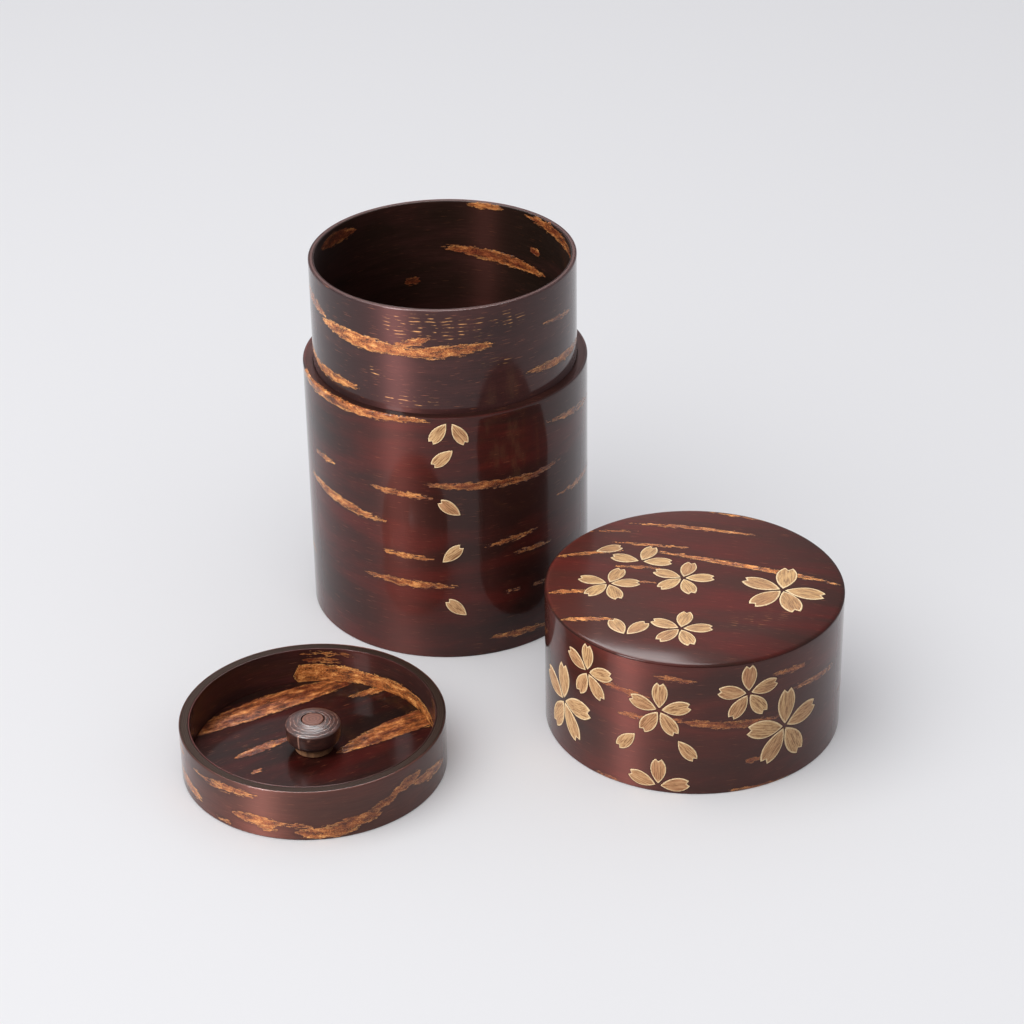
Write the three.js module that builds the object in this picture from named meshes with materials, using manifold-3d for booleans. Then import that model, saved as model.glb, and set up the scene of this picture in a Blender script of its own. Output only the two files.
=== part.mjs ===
// A cherry-bark tea caddy, opened: the can with its neck, the outer cap and the inner lid, side by side.
// Units are millimetres, +Z is up, and the origin is the centre of the can's base.
import * as THREE from "three";
import { mergeVertices } from "three/addons/utils/BufferGeometryUtils.js";
import Module from "manifold-3d";

const wasm = await Module();
wasm.setup();

// Driving dimensions of the three turned bodies.
const CADDY_RADIUS = 40;
const CAN_HEIGHT = 76.2; // base to shoulder
const NECK_RISE = 30.7; // shoulder to the rim of the neck
const CAP_HEIGHT = 40.5;
const LID_HEIGHT = 14.9;
const SHOULDER_WIDTH = 2.9; // ledge the cap lands on
const NECK_WALL = 1.6;
const LID_WALL = 2.8;

// Sheets, boards and the glue between them.
const BARK = 0.6; // polished outer bark and the bark discs
const FINE_BARK = 0.35; // thinner bark on the neck and the linings
const GLUE = 0.08;
const BASE_BOARD = 4;
const CAP_BOARD = 3;
const TRAY_FLOOR = 4.5; // base of the inner lid to the bottom of its tray
const CAP_EDGE_ROUND = 1.1;

// Running clearances, on the radius.
const CAP_CLEARANCE = 0.25; // cap over the neck
const LID_CLEARANCE = 0.2; // inner lid inside the neck

// Knob of the inner lid.
const FOOT_RADIUS = 5.1;
const FOOT_HEIGHT = 3.3;
const KNOB_RADIUS = 7.4;
const KNOB_UNDERSIDE_RADIUS = 6.5;
const KNOB_SIDE = 4.3;
const KNOB_CROWN = 1.7; // rise of the top face from its edge to its middle
const PEG_RADIUS = 2.9;
const PEG_FIT = 0.3; // joint between the peg and what it passes through

// Inlaid petals, laid flat: length from heart to tip, greatest width, and the radius of the disc
// that holds the petals of a blossom together.
const SMALL_PETAL = { length: 7.7, width: 4.2, heart: 2.9 };
const LARGE_PETAL = { length: 10.7, width: 5.6, heart: 3.8 };
const FALLEN_PETAL = { length: 7.3, width: 3.7 };
const HEART_GAP = 0.7; // middle of a blossom to the point of a petal
const INLAY_GAP = 0.15; // joint round an inlaid petal
const INLAY_REACH = 3; // how far a petal cutter reaches into and out of the bark

// Where the cap and the inner lid stand: clear of the can's side by a gap, in a direction from its axis
// in degrees from the right.
const CAP_STAND = { gap: 15.1, direction: -45.7 };
const LID_STAND = { gap: 21.6, direction: -111.5 };

const TURNS = 48; // facets round every turned piece

// Radii that follow from the sizes above.
const NECK_RADIUS = CADDY_RADIUS - SHOULDER_WIDTH;
const NECK_BORE = NECK_RADIUS - NECK_WALL;
const CAP_BORE = NECK_RADIUS + CAP_CLEARANCE;
const LID_RADIUS = NECK_BORE - LID_CLEARANCE;
const TRAY_RADIUS = LID_RADIUS - LID_WALL;
const SKIN_BORE = CADDY_RADIUS - BARK;
const CORE_RADIUS = SKIN_BORE - GLUE;

// ---- Finishes ----

const FINISHES = {
  polishedBark: { color: 0x4a211c, roughness: 0.3 },
  neckBark: { color: 0x56302c, roughness: 0.35 },
  innerBark: { color: 0x2a1410, roughness: 0.5 },
  rimWood: { color: 0x3a3230, roughness: 0.7 },
  wood: { color: 0xb08a5e, roughness: 0.8 },
  petalBark: { color: 0xc8a670, roughness: 0.55 },
  knobBark: { color: 0x4a3230, roughness: 0.4 },
  pegWood: { color: 0x8c5f55, roughness: 0.6 },
};

function part(name, geometry, finish) {
  const material = new THREE.MeshStandardMaterial({ metalness: 0, ...FINISHES[finish] });
  const mesh = new THREE.Mesh(geometry, material);
  mesh.name = name;
  return mesh;
}

// ---- Turned shapes ----

// Turns a closed profile of [radius, height] pairs about the Z axis.
function turned(profile) {
  const points = profile.map(([radius, height]) => new THREE.Vector2(radius, height));
  return new THREE.LatheGeometry(points, TURNS).rotateX(Math.PI / 2);
}

function disc(radius, low, high) {
  return turned([[0, low], [radius, low], [radius, high], [0, high]]);
}

function tube(bore, radius, low, high) {
  return turned([[bore, low], [radius, low], [radius, high], [bore, high], [bore, low]]);
}

// Points of an arc in a profile, from one angle to another in degrees.
function arc(radius, height, bend, from, to, steps) {
  return Array.from({ length: steps + 1 }, (_, i) => {
    const angle = THREE.MathUtils.degToRad(from + ((to - from) * i) / steps);
    return [radius + bend * Math.cos(angle), height + bend * Math.sin(angle)];
  });
}

// ---- Cutting and joining ----

function toSolid(geometry) {
  const bare = geometry.clone();
  bare.deleteAttribute("normal");
  bare.deleteAttribute("uv");
  const merged = mergeVertices(bare, 1e-4);
  const vertProperties = merged.attributes.position.array;
  const triVerts = new Uint32Array(merged.index.array);
  return new wasm.Manifold(new wasm.Mesh({ numProp: 3, vertProperties, triVerts }));
}

function toGeometry(solid) {
  const { vertProperties, triVerts } = solid.getMesh();
  const geometry = new THREE.BufferGeometry();
  geometry.setAttribute("position", new THREE.BufferAttribute(vertProperties, 3));
  geometry.setIndex(new THREE.BufferAttribute(triVerts, 1));
  geometry.computeVertexNormals();
  return geometry;
}

function joined(solids) {
  return solids.reduce((all, solid) => all.add(solid));
}

// ---- Petals ----

// Outline of a petal along +X with its point at the origin: full in the middle, notched at the tip.
function petalOutline({ length, width }) {
  const shape = new THREE.Shape();
  shape.moveTo(0, 0);
  shape.bezierCurveTo(0.32 * length, -0.56 * width, 0.74 * length, -0.68 * width, length, -0.2 * width);
  shape.lineTo(0.9 * length, 0);
  shape.lineTo(length, 0.2 * width);
  shape.bezierCurveTo(0.74 * length, 0.68 * width, 0.32 * length, 0.56 * width, 0, 0);
  return shape.getPoints(4).slice(0, -1);
}

// Corners of a petal that starts at `start`, points along `direction` and is grown all round by `grow`.
function placedPetal(petal, start, direction, grow) {
  const middle = new THREE.Vector2(petal.length / 2, 0);
  const scale = 1 + (2 * grow) / petal.width;
  return petalOutline(petal).map((corner) =>
    corner.sub(middle).multiplyScalar(scale).add(middle)
      .rotateAround(new THREE.Vector2(), THREE.MathUtils.degToRad(direction)).add(start));
}

// Corners of the disc that joins the petals of a blossom.
function heartDisc(petal, grow) {
  return new THREE.Path().absarc(0, 0, petal.heart + grow, 0, 2 * Math.PI).getPoints(6).slice(0, -1);
}

// Outlines of a blossom or of one fallen petal, about its own middle.
function figureOutlines({ petal, directions, fallen }, grow) {
  if (fallen) return [placedPetal(petal, new THREE.Vector2(), directions[0], grow)];
  const petals = directions.map((direction) => {
    const angle = THREE.MathUtils.degToRad(direction);
    const start = new THREE.Vector2(Math.cos(angle), Math.sin(angle)).multiplyScalar(HEART_GAP);
    return placedPetal(petal, start, direction, grow);
  });
  return [...petals, heartDisc(petal, grow)];
}

function prism(outline) {
  return new THREE.ExtrudeGeometry(new THREE.Shape(outline), {
    depth: 2 * INLAY_REACH, bevelEnabled: false,
  }).translate(0, 0, -INLAY_REACH);
}

// Cutter for a figure on the flat top, at shares of the caddy's radius from its axis.
function topCutter(figure, grow, height) {
  const [across, back] = figure.at.map((share) => share * CADDY_RADIUS);
  return joined(figureOutlines(figure, grow).map((outline) =>
    toSolid(prism(outline).translate(across, back, height))));
}

// Cutter for a figure wrapped on the side, at an angle round the axis and a share of the height.
function sideCutter(figure, grow, height) {
  const [angle, share] = figure.at;
  const wrap = ({ x, y }) => new THREE.Vector2(CADDY_RADIUS * Math.sin(x / CADDY_RADIUS), y);
  return joined(figureOutlines(figure, grow).map((outline) =>
    toSolid(prism(outline.map(wrap)).rotateX(Math.PI / 2).translate(0, -CADDY_RADIUS, share * height)
      .rotateZ(THREE.MathUtils.degToRad(angle)))));
}

// Cuts a window for each figure out of a bark sheet, and the figure itself out of the same sheet.
function inlaid(sheetName, sheet, sheetFinish, figures, cutter, height) {
  const blank = toSolid(sheet);
  const windows = joined(figures.map((figure) => cutter(figure, INLAY_GAP, height)));
  const pieces = figures.map((figure) =>
    part(figure.name, toGeometry(cutter(figure, 0, height).intersect(blank)), "petalBark"));
  return [part(sheetName, toGeometry(blank.subtract(windows)), sheetFinish), ...pieces];
}

// Directions are degrees from the caddy's right, turning towards its back or its top.
const CAN_FIGURES = [
  { at: [1, 0.98], directions: [-126] },
  { at: [3.3, 0.978], directions: [-60] },
  { at: [3.3, 0.871], directions: [-140] },
  { at: [5.7, 0.605], directions: [142] },
  { at: [-1.9, 0.41], directions: [42] },
  { at: [7.1, 0.181], directions: [137] },
].map((figure, i) => ({ name: `can_petal_${i + 1}`, petal: FALLEN_PETAL, fallen: true, ...figure }));

const CAP_SIDE_FIGURES = [
  { name: "cap_side_blossom_1", at: [-47.3, 0.75], petal: SMALL_PETAL, directions: [90, 13, -52, -114, 156] },
  { name: "cap_side_blossom_2", at: [-62, 0.4], petal: LARGE_PETAL, directions: [91, 7, -56, -117, 158] },
  { name: "cap_side_blossom_3", at: [-16.4, 0.63], petal: SMALL_PETAL, directions: [89, 13, -58, -123, 163] },
  { name: "cap_side_blossom_4", at: [17.1, 0.748], petal: SMALL_PETAL, directions: [90, 11, -56, -124, 169] },
  { name: "cap_side_blossom_5", at: [33.1, 0.415], petal: LARGE_PETAL, directions: [87, 13, -61, -123, 171] },
  { name: "cap_rim_spray", at: [-16.4, 0.047], petal: SMALL_PETAL, directions: [90, 10, 163] },
  { name: "cap_side_petal_1", at: [-25.7, 0.415], petal: FALLEN_PETAL, directions: [-133], fallen: true },
  { name: "cap_side_petal_2", at: [-9.1, 0.41], petal: FALLEN_PETAL, directions: [-52], fallen: true },
];

const CAP_TOP_FIGURES = [
  { name: "cap_top_blossom_1", at: [-0.572, 0.01], petal: SMALL_PETAL, directions: [0, 63, 157, -137, -74] },
  { name: "cap_top_blossom_2", at: [-0.072, 0.065], petal: SMALL_PETAL, directions: [-2, 70, 153, -143, -77] },
  { name: "cap_top_blossom_3", at: [0.578, -0.11], petal: LARGE_PETAL, directions: [-17, 76, 150, -140, -77] },
  { name: "cap_top_blossom_4", at: [-0.125, -0.567], petal: SMALL_PETAL, directions: [0, 75, 150, -138, -75] },
  { name: "cap_top_spray_1", at: [-0.342, 0.29], petal: SMALL_PETAL, directions: [-5, 63, 159] },
  { name: "cap_top_spray_2", at: [-0.49, -0.635], petal: SMALL_PETAL, directions: [45, 112] },
  { name: "cap_top_petal", at: [-0.638, 0.435], petal: FALLEN_PETAL, directions: [16], fallen: true },
];

// Moves a body out to where it stands beside the can.
function stand(body, radius, { gap, direction }) {
  const angle = THREE.MathUtils.degToRad(direction);
  const reach = CADDY_RADIUS + gap + radius;
  body.position.set(reach * Math.cos(angle), reach * Math.sin(angle), 0);
  return body;
}

// ---- The can ----

function makeCan() {
  const can = new THREE.Group();
  const coreLow = BARK + GLUE;
  const floorLow = coreLow + BASE_BOARD + GLUE;
  const neckTop = CAN_HEIGHT + NECK_RISE;
  const neckCoreBore = NECK_BORE + FINE_BARK + GLUE;
  const neckCoreRadius = NECK_RADIUS - FINE_BARK - GLUE;
  const coreBore = NECK_RADIUS + GLUE;
  const skin = tube(SKIN_BORE, CADDY_RADIUS, 0, CAN_HEIGHT);
  can.add(
    part("base_bark_disc", disc(CORE_RADIUS, 0, BARK), "innerBark"),
    part("base_board", disc(NECK_RADIUS, coreLow, coreLow + BASE_BOARD), "wood"),
    part("floor_bark_disc", disc(NECK_BORE - GLUE, floorLow, floorLow + BARK), "innerBark"),
    part("can_core_tube", tube(coreBore, CORE_RADIUS, coreLow, CAN_HEIGHT - BARK - GLUE), "wood"),
    part("shoulder_ring", tube(coreBore, CORE_RADIUS, CAN_HEIGHT - BARK, CAN_HEIGHT), "polishedBark"),
    part("neck_core_tube", tube(neckCoreBore, neckCoreRadius, floorLow, neckTop), "wood"),
    part("neck_bark_skin", tube(NECK_RADIUS - FINE_BARK, NECK_RADIUS, floorLow, neckTop), "neckBark"),
    part("neck_bark_lining", tube(NECK_BORE, NECK_BORE + FINE_BARK, floorLow, neckTop), "innerBark"),
    ...inlaid("can_bark_skin", skin, "polishedBark", CAN_FIGURES, sideCutter, CAN_HEIGHT),
  );
  return can;
}

// ---- The cap, standing on its rim ----

function makeCap() {
  const cap = new THREE.Group();
  const coreTop = CAP_HEIGHT - BARK - GLUE;
  const boardLow = coreTop - CAP_BOARD;
  const ceilingLow = boardLow - GLUE - FINE_BARK;
  const coreBore = CAP_BORE + FINE_BARK + GLUE;
  const boardRadius = CAP_BORE + FINE_BARK;
  const edgeLow = CAP_HEIGHT - CAP_EDGE_ROUND;
  const edgeMiddle = CADDY_RADIUS - CAP_EDGE_ROUND;
  const top = turned([
    [0, CAP_HEIGHT - BARK], [SKIN_BORE, CAP_HEIGHT - BARK], [SKIN_BORE, edgeLow],
    ...arc(edgeMiddle, edgeLow, CAP_EDGE_ROUND, 0, 90, 4), [0, CAP_HEIGHT],
  ]);
  const skin = tube(SKIN_BORE, CADDY_RADIUS, 0, edgeLow - GLUE);
  cap.add(
    part("cap_core_tube", tube(coreBore, CORE_RADIUS, 0, coreTop), "wood"),
    part("cap_top_board", disc(boardRadius, boardLow, coreTop), "wood"),
    part("cap_ceiling_bark", disc(boardRadius, ceilingLow, boardLow - GLUE), "innerBark"),
    part("cap_bark_lining", tube(CAP_BORE, boardRadius, 0, ceilingLow - GLUE), "innerBark"),
    ...inlaid("cap_bark_skin", skin, "polishedBark", CAP_SIDE_FIGURES, sideCutter, CAP_HEIGHT),
    ...inlaid("cap_top_bark", top, "polishedBark", CAP_TOP_FIGURES, topCutter, CAP_HEIGHT),
  );
  return stand(cap, CADDY_RADIUS, CAP_STAND);
}

// ---- The inner lid: a shallow tray with the knob standing in it ----

function makeInnerLid() {
  const lid = new THREE.Group();
  const boardRadius = LID_RADIUS - FINE_BARK - GLUE;
  const boardTop = TRAY_FLOOR - BARK - GLUE;
  const wallLow = boardTop + GLUE;
  const ringBore = TRAY_RADIUS + FINE_BARK + GLUE;
  const pegHole = PEG_RADIUS + PEG_FIT;
  const footTop = TRAY_FLOOR + GLUE + FOOT_HEIGHT;
  const knobLow = footTop + GLUE;
  const knobEdge = knobLow + KNOB_SIDE;
  const crownAt = (radius) => knobEdge + KNOB_CROWN * (1 - (radius / KNOB_RADIUS) ** 2);
  const crownRadii = [0.93, 0.75, 0.58].map((share) => share * KNOB_RADIUS);
  const knob = turned([
    [pegHole, knobLow], [KNOB_UNDERSIDE_RADIUS, knobLow], [KNOB_RADIUS, knobEdge],
    ...crownRadii.map((radius) => [radius, crownAt(radius)]), [pegHole, crownAt(pegHole)], [pegHole, knobLow],
  ]);
  lid.add(
    part("lid_under_bark", disc(boardRadius, 0, BARK), "innerBark"),
    part("lid_board", disc(boardRadius, BARK + GLUE, boardTop), "wood"),
    part("lid_tray_bark", disc(TRAY_RADIUS - GLUE, wallLow, TRAY_FLOOR), "polishedBark"),
    part("lid_ring_core", tube(ringBore, boardRadius, wallLow, LID_HEIGHT), "rimWood"),
    part("lid_wall_lining", tube(TRAY_RADIUS, TRAY_RADIUS + FINE_BARK, wallLow, LID_HEIGHT), "innerBark"),
    part("lid_bark_band", tube(LID_RADIUS - FINE_BARK, LID_RADIUS, 0, LID_HEIGHT), "polishedBark"),
    part("knob_foot", tube(pegHole, FOOT_RADIUS, TRAY_FLOOR + GLUE, footTop), "pegWood"),
    part("knob", knob, "knobBark"),
    part("knob_peg", disc(PEG_RADIUS, TRAY_FLOOR + GLUE, crownAt(PEG_RADIUS)), "pegWood"),
  );
  return stand(lid, LID_RADIUS, LID_STAND);
}

const caddy = new THREE.Group();
caddy.add(makeCan(), makeCap(), makeInnerLid());

export default caddy;
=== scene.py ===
"""A cherry-bark tea caddy, opened: the can with its neck, the outer cap and the inner lid.

The script builds polished bark sheets, linings, boards, inlaid petals and the wound knob around the
fixed frame, then sets up the floor, the lights and the camera. Lengths are millimetres and angles are
degrees unless a name says otherwise. Meshes are written in metres. Angles round a turned body start
at its front (-Y) and turn towards its right (+X).
"""

import logging
from dataclasses import dataclass, field, replace
from enum import Enum
from typing import Optional, Sequence

import bpy
import numpy as np
from mathutils import Matrix


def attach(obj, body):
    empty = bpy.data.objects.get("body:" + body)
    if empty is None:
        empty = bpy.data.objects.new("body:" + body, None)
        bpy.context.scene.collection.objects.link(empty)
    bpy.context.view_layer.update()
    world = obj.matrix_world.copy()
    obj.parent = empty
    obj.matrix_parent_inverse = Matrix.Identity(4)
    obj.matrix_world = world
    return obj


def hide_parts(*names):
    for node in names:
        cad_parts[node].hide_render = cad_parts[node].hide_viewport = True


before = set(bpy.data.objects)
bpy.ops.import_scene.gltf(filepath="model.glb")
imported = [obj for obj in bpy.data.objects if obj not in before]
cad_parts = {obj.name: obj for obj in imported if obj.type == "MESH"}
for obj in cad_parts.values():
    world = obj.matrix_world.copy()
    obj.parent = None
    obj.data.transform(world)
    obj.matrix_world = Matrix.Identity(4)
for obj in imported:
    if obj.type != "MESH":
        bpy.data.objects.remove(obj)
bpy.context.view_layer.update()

LOG = logging.getLogger("tea_caddy")
Array = np.ndarray
Pair = tuple[float, float]
Colour = tuple[float, float, float]

MM = 0.001
SHEET_SIDES = 288  # steps round a bark sheet
PLAIN_SIDES = 160  # steps round a lining, core or board
SHEET_STEP = 0.7  # longest step along the wall of a bark sheet
PLAIN_STEP = 3.0
ARC_STEPS = 5  # steps round a softened corner
SHARP_ANGLE = 34.0  # edges that fold more than this stay crisp
UV_NAME = "sheet"
BARK_IOR, FILM_IOR = 1.5, 1.33
NO_BORE = 0.01  # a narrower bore is a disc's
NO_STREAK = -6.0  # depth where there is no streak near


class Lay(Enum):
    """How a sheet lies on its body."""

    WALL = "wrapped round a wall"
    LINING = "laid inside a wall"
    FACE = "flat on a face"


class Slot(Enum):
    """Material slots of the record."""

    POLISHED = "polished_bark"
    NECK = "neck_bark"
    INNER = "inner_bark"
    RIM = "rim_wood"
    CORE = "core_wood"
    PETAL = "petal_bark"
    KNOB = "knob_bark"
    PEG = "peg_wood"


# ---- Sizes and profiles ----


def mesh_points(mesh: bpy.types.Mesh) -> Array:
    """Reads a mesh's vertices.

    Args:
        mesh: The mesh to read.

    Returns:
        An (n, 3) array in millimetres.
    """
    points = np.empty(len(mesh.vertices) * 3, np.float32)
    mesh.vertices.foreach_get("co", points)
    return points.reshape(-1, 3).astype(float) / MM


def corner_vertices(mesh: bpy.types.Mesh) -> Array:
    """Reads the vertex number of every face corner.

    Args:
        mesh: The mesh to read.

    Returns:
        An array of vertex numbers.
    """
    corners = np.empty(len(mesh.loops), np.int32)
    mesh.loops.foreach_get("vertex_index", corners)
    return corners


def wrapped(places: Array, turn: float) -> Array:
    """Carries places on a closed loop to within half a turn of nothing."""
    return (places + turn / 2) % turn - turn / 2


def put_in_scene(name: str, data: bpy.types.ID) -> bpy.types.Object:
    """Puts a mesh, a lamp or a camera into the scene.

    Args:
        name: Name of the object.
        data: What it shows.

    Returns:
        The new object.
    """
    made = bpy.data.objects.new(name, data)
    bpy.context.scene.collection.objects.link(made)
    return made


def stand(thing: bpy.types.Object, place: Colour, axes: Sequence[Array]) -> None:
    """Stands a lamp or a camera in its place.

    Args:
        thing: Its object.
        place: The place.
        axes: Unit vectors along its own right, up and back.
    """
    matrix = np.eye(4)
    matrix[:3, :3], matrix[:3, 3] = np.stack(axes, axis=-1), np.array(place) * MM
    thing.matrix_world = Matrix(matrix.tolist())


@dataclass(frozen=True)
class Ring:
    """Sizes of one turned node: where its axis stands, its bore and radius, and its two ends."""

    axis: Pair
    bore: float
    radius: float
    low: float
    high: float

    @classmethod
    def of(cls, node: str) -> "Ring":
        """Measures a node of the frame.

        Args:
            node: Name of a turned node.

        Returns:
            Its sizes. A disc has a bore of nothing.
        """
        points = mesh_points(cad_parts[node].data)
        low, high = points.min(0), points.max(0)
        middle = (low + high) / 2
        reach = np.hypot(points[:, 0] - middle[0], points[:, 1] - middle[1])
        return cls((middle[0], middle[1]), float(reach.min()), float(reach.max()), low[2], high[2])


def softened(corners: Sequence[tuple[float, float, float]], step: float, closed: bool) -> Array:
    """Rounds the corners of a profile and cuts its straights into short steps.

    A corner c with unit vectors p and q towards its neighbours and fillet f becomes the arc
    c + p f (1 - sin t) + q f (1 - cos t), with t from 0 to a quarter turn.

    Args:
        corners: Rows of radius, height and fillet, outwards along the bottom and up the outside.
        step: Longest step along a straight.
        closed: Whether the last corner joins the first.

    Returns:
        An (n, 2) array of radius and height.
    """
    rows = np.array(corners, float)
    places, fillets = rows[:, :2], rows[:, 2]
    turn = np.linspace(0, np.pi / 2, ARC_STEPS + 1)[:, None]
    runs = []
    for i, place in enumerate(places):
        before, after = places[i - 1] - place, places[(i + 1) % len(places)] - place
        if fillets[i] <= 0 or (not closed and i in (0, len(places) - 1)):
            runs.append(place[None, :])
            continue
        p, q = before / np.linalg.norm(before), after / np.linalg.norm(after)
        runs.append(place + fillets[i] * (p * (1 - np.sin(turn)) + q * (1 - np.cos(turn))))
    line = np.concatenate(runs + ([runs[0][:1]] if closed else []))
    gaps = np.linalg.norm(np.diff(line, axis=0), axis=1)
    counts = np.maximum(1, np.ceil(gaps / step - 1e-6).astype(int))
    pieces = [
        a + (b - a) * np.linspace(0, 1, n, endpoint=False)[:, None]
        for a, b, n in zip(line[:-1], line[1:], counts)
    ]
    return np.concatenate(pieces + ([] if closed else [line[-1:]]))


def grid_faces(rows: Array, closed: bool) -> Array:
    """Quads between neighbouring rows of vertex numbers, each row closed on itself.

    Args:
        rows: An (n, m) array of vertex numbers, in the order of the profile.
        closed: Whether the last row joins the first.

    Returns:
        A (k, 4) array of vertex numbers.
    """
    above = np.roll(rows, -1, axis=0)
    quads = np.stack([rows, np.roll(rows, -1, axis=1), np.roll(above, -1, axis=1), above], axis=-1)
    return (quads if closed else quads[:-1]).reshape(-1, 4)


def pole_faces(pole: int, row: Array, top: bool) -> Array:
    """Triangles from a pole to the closed row next to it.

    Args:
        pole: Vertex number of the pole.
        row: Vertex numbers of the row.
        top: Whether they face up.

    Returns:
        A (k, 3) array of vertex numbers.
    """
    ahead = np.roll(row, -1)
    poles = np.full_like(row, pole)
    return np.stack([poles, row, ahead] if top else [poles, ahead, row], axis=-1)


def make_mesh(name: str, points: Array, faces: Sequence[Array]) -> bpy.types.Mesh:
    """Makes a mesh from whole arrays.

    Args:
        name: Name of the mesh.
        points: An (n, 3) array in millimetres.
        faces: Arrays of faces, one for each number of corners.

    Returns:
        The mesh.
    """
    mesh = bpy.data.meshes.new(name)
    corners = np.concatenate([f.ravel() for f in faces]).astype(np.int32)
    sizes = np.concatenate([np.full(len(f), f.shape[1]) for f in faces]).astype(np.int32)
    mesh.vertices.add(len(points))
    mesh.vertices.foreach_set("co", (points * MM).astype(np.float32).ravel())
    mesh.loops.add(len(corners))
    mesh.loops.foreach_set("vertex_index", corners)
    mesh.polygons.add(len(sizes))
    mesh.polygons.foreach_set("loop_start", (np.cumsum(sizes) - sizes).astype(np.int32))
    mesh.update(calc_edges=True)
    mesh.validate()
    return mesh


def finish_shading(mesh: bpy.types.Mesh) -> None:
    """Shades a mesh smooth, with its crisp edges kept."""
    mesh.shade_smooth()
    mesh.set_sharp_from_angle(angle=np.radians(SHARP_ANGLE))


def turned_mesh(name: str, profile: Array, axis: Pair, sides: int, closed: bool) -> bpy.types.Mesh:
    """Turns a profile about an upright axis.

    A profile point of radius r and height z goes to (x + r sin a, y - r cos a, z) at each angle a.
    An open profile starts and ends on the axis, where one vertex makes each pole.

    Args:
        name: Name of the mesh.
        profile: Rows of radius and height, outwards along the bottom and up the outside.
        axis: Place of the axis.
        sides: Steps round the axis.
        closed: Whether the profile closes on itself, as a tube's does.

    Returns:
        The closed mesh.
    """
    angle = np.linspace(0, 2 * np.pi, sides, endpoint=False)
    ring = profile if closed else profile[1:-1]
    radius, height = ring[:, :1], ring[:, 1:]
    across = axis[0] + radius * np.sin(angle)
    back = axis[1] - radius * np.cos(angle)
    points = np.stack([across, back, np.broadcast_to(height, across.shape)], axis=-1).reshape(-1, 3)
    rows = np.arange(len(points)).reshape(len(ring), sides)
    faces = [grid_faces(rows, closed)]
    if not closed:
        poles = np.array([[*axis, profile[0, 1]], [*axis, profile[-1, 1]]])
        first = len(points)
        points = np.concatenate([points, poles])
        fans = [pole_faces(first, rows[0], False), pole_faces(first + 1, rows[-1], True)]
        faces.append(np.concatenate(fans))
    return make_mesh(name, points, faces)


@dataclass(frozen=True)
class Fillets:
    """Corner rounding of a turned piece: bore and rim, at its low and its high end."""

    rim_low: float = 0.05
    rim_high: float = 0.05
    bore_high: float = 0.05
    bore_low: float = 0.05

    def profile(self, ring: Ring, step: float) -> Array:
        """Profile of a tube or a disc with these corners.

        Args:
            ring: Sizes of the piece.
            step: Longest step along a straight.

        Returns:
            Rows of radius and height.
        """
        outside = [(ring.radius, ring.low, self.rim_low), (ring.radius, ring.high, self.rim_high)]
        if ring.bore < NO_BORE:
            return softened([(0, ring.low, 0), *outside, (0, ring.high, 0)], step, closed=False)
        inside = [(ring.bore, ring.high, self.bore_high), (ring.bore, ring.low, self.bore_low)]
        return softened([*outside, *inside], step, closed=True)


def turned_piece(name: str, ring: Ring, fillets: Fillets, fine: bool = False) -> bpy.types.Mesh:
    """Makes a plain tube or disc, fine enough to carry marks or not."""
    step, sides = (SHEET_STEP, SHEET_SIDES) if fine else (PLAIN_STEP, PLAIN_SIDES)
    return turned_mesh(name, fillets.profile(ring, step), ring.axis, sides, closed=ring.bore >= NO_BORE)


# ---- Marks in the bark ----


@dataclass(frozen=True)
class Streak:
    """A corky streak in the bark: two ends, half its breadth, its tone and its bend.

    On a wall an end is (angle, height). On a face it is (across, back) from the axis. The tone runs
    from 0, red-brown, to 1, bright gold. A blunt streak starts at its full breadth, as at a seam.
    """

    start: Pair
    end: Pair
    breadth: float
    tone: float = 0.5
    sag: float = 0.0
    blunt: float = 0.0

    def depth(self, u: Array, v: Array, radius: Optional[float]) -> Array:
        """How deep each point lies inside the streak.

        With t the share of the way along and d the distance off the streak's middle line, this is
        breadth sin(pi t)^0.6 - |d| between the ends, and less than nothing beyond them.

        Args:
            u: Places along the sheet, as arcs on a wall.
            v: Places up or back.
            radius: Radius of the wall, or None on a face.

        Returns:
            Depths in millimetres, negative outside.
        """
        scale = np.array([np.radians(radius), 1.0]) if radius else np.ones(2)
        start, end = np.array(self.start) * scale, np.array(self.end) * scale
        middle, length = (start + end) / 2, float(np.linalg.norm(end - start))
        along = (end - start) / length
        du, dv = u - middle[0], v - middle[1]
        if radius:
            du = wrapped(du, 2 * np.pi * radius)
        share = (du * along[0] + dv * along[1]) / length + 0.5
        inside = np.clip(share, 0, 1)
        off = dv * along[0] - du * along[1] - self.sag * 4 * inside * (1 - inside)
        spread = np.sin(np.pi * (self.blunt + (1 - self.blunt) * inside)) ** 0.6
        beyond = np.abs(share - inside) * length
        return self.breadth * spread - np.abs(off) - 2 * beyond


@dataclass(frozen=True)
class Patch:
    """A place where the bark is sprinkled with fine golden dashes, with its reach both ways."""

    at: Pair
    reach: Pair
    strength: float = 1.0

    def weight(self, u: Array, v: Array, radius: Optional[float]) -> Array:
        """Weight of the patch: a bell over the two reaches.

        Args:
            u: Places along the sheet.
            v: Places up or back.
            radius: Radius of the wall, or None on a face.

        Returns:
            Weights from 0 to 1.
        """
        du = u - self.at[0] * (np.radians(radius) if radius else 1.0)
        if radius:
            du = wrapped(du, 2 * np.pi * radius)
        return self.strength * np.exp(-((du / self.reach[0]) ** 2) - ((v - self.at[1]) / self.reach[1]) ** 2)


def drawn_streaks(*rows: tuple[float, ...]) -> tuple[Streak, ...]:
    """Streaks from rows of both ends, half the breadth and, where given, tone, bend and bluntness."""
    return tuple(Streak(row[:2], row[2:4], *row[4:]) for row in rows)


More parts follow.
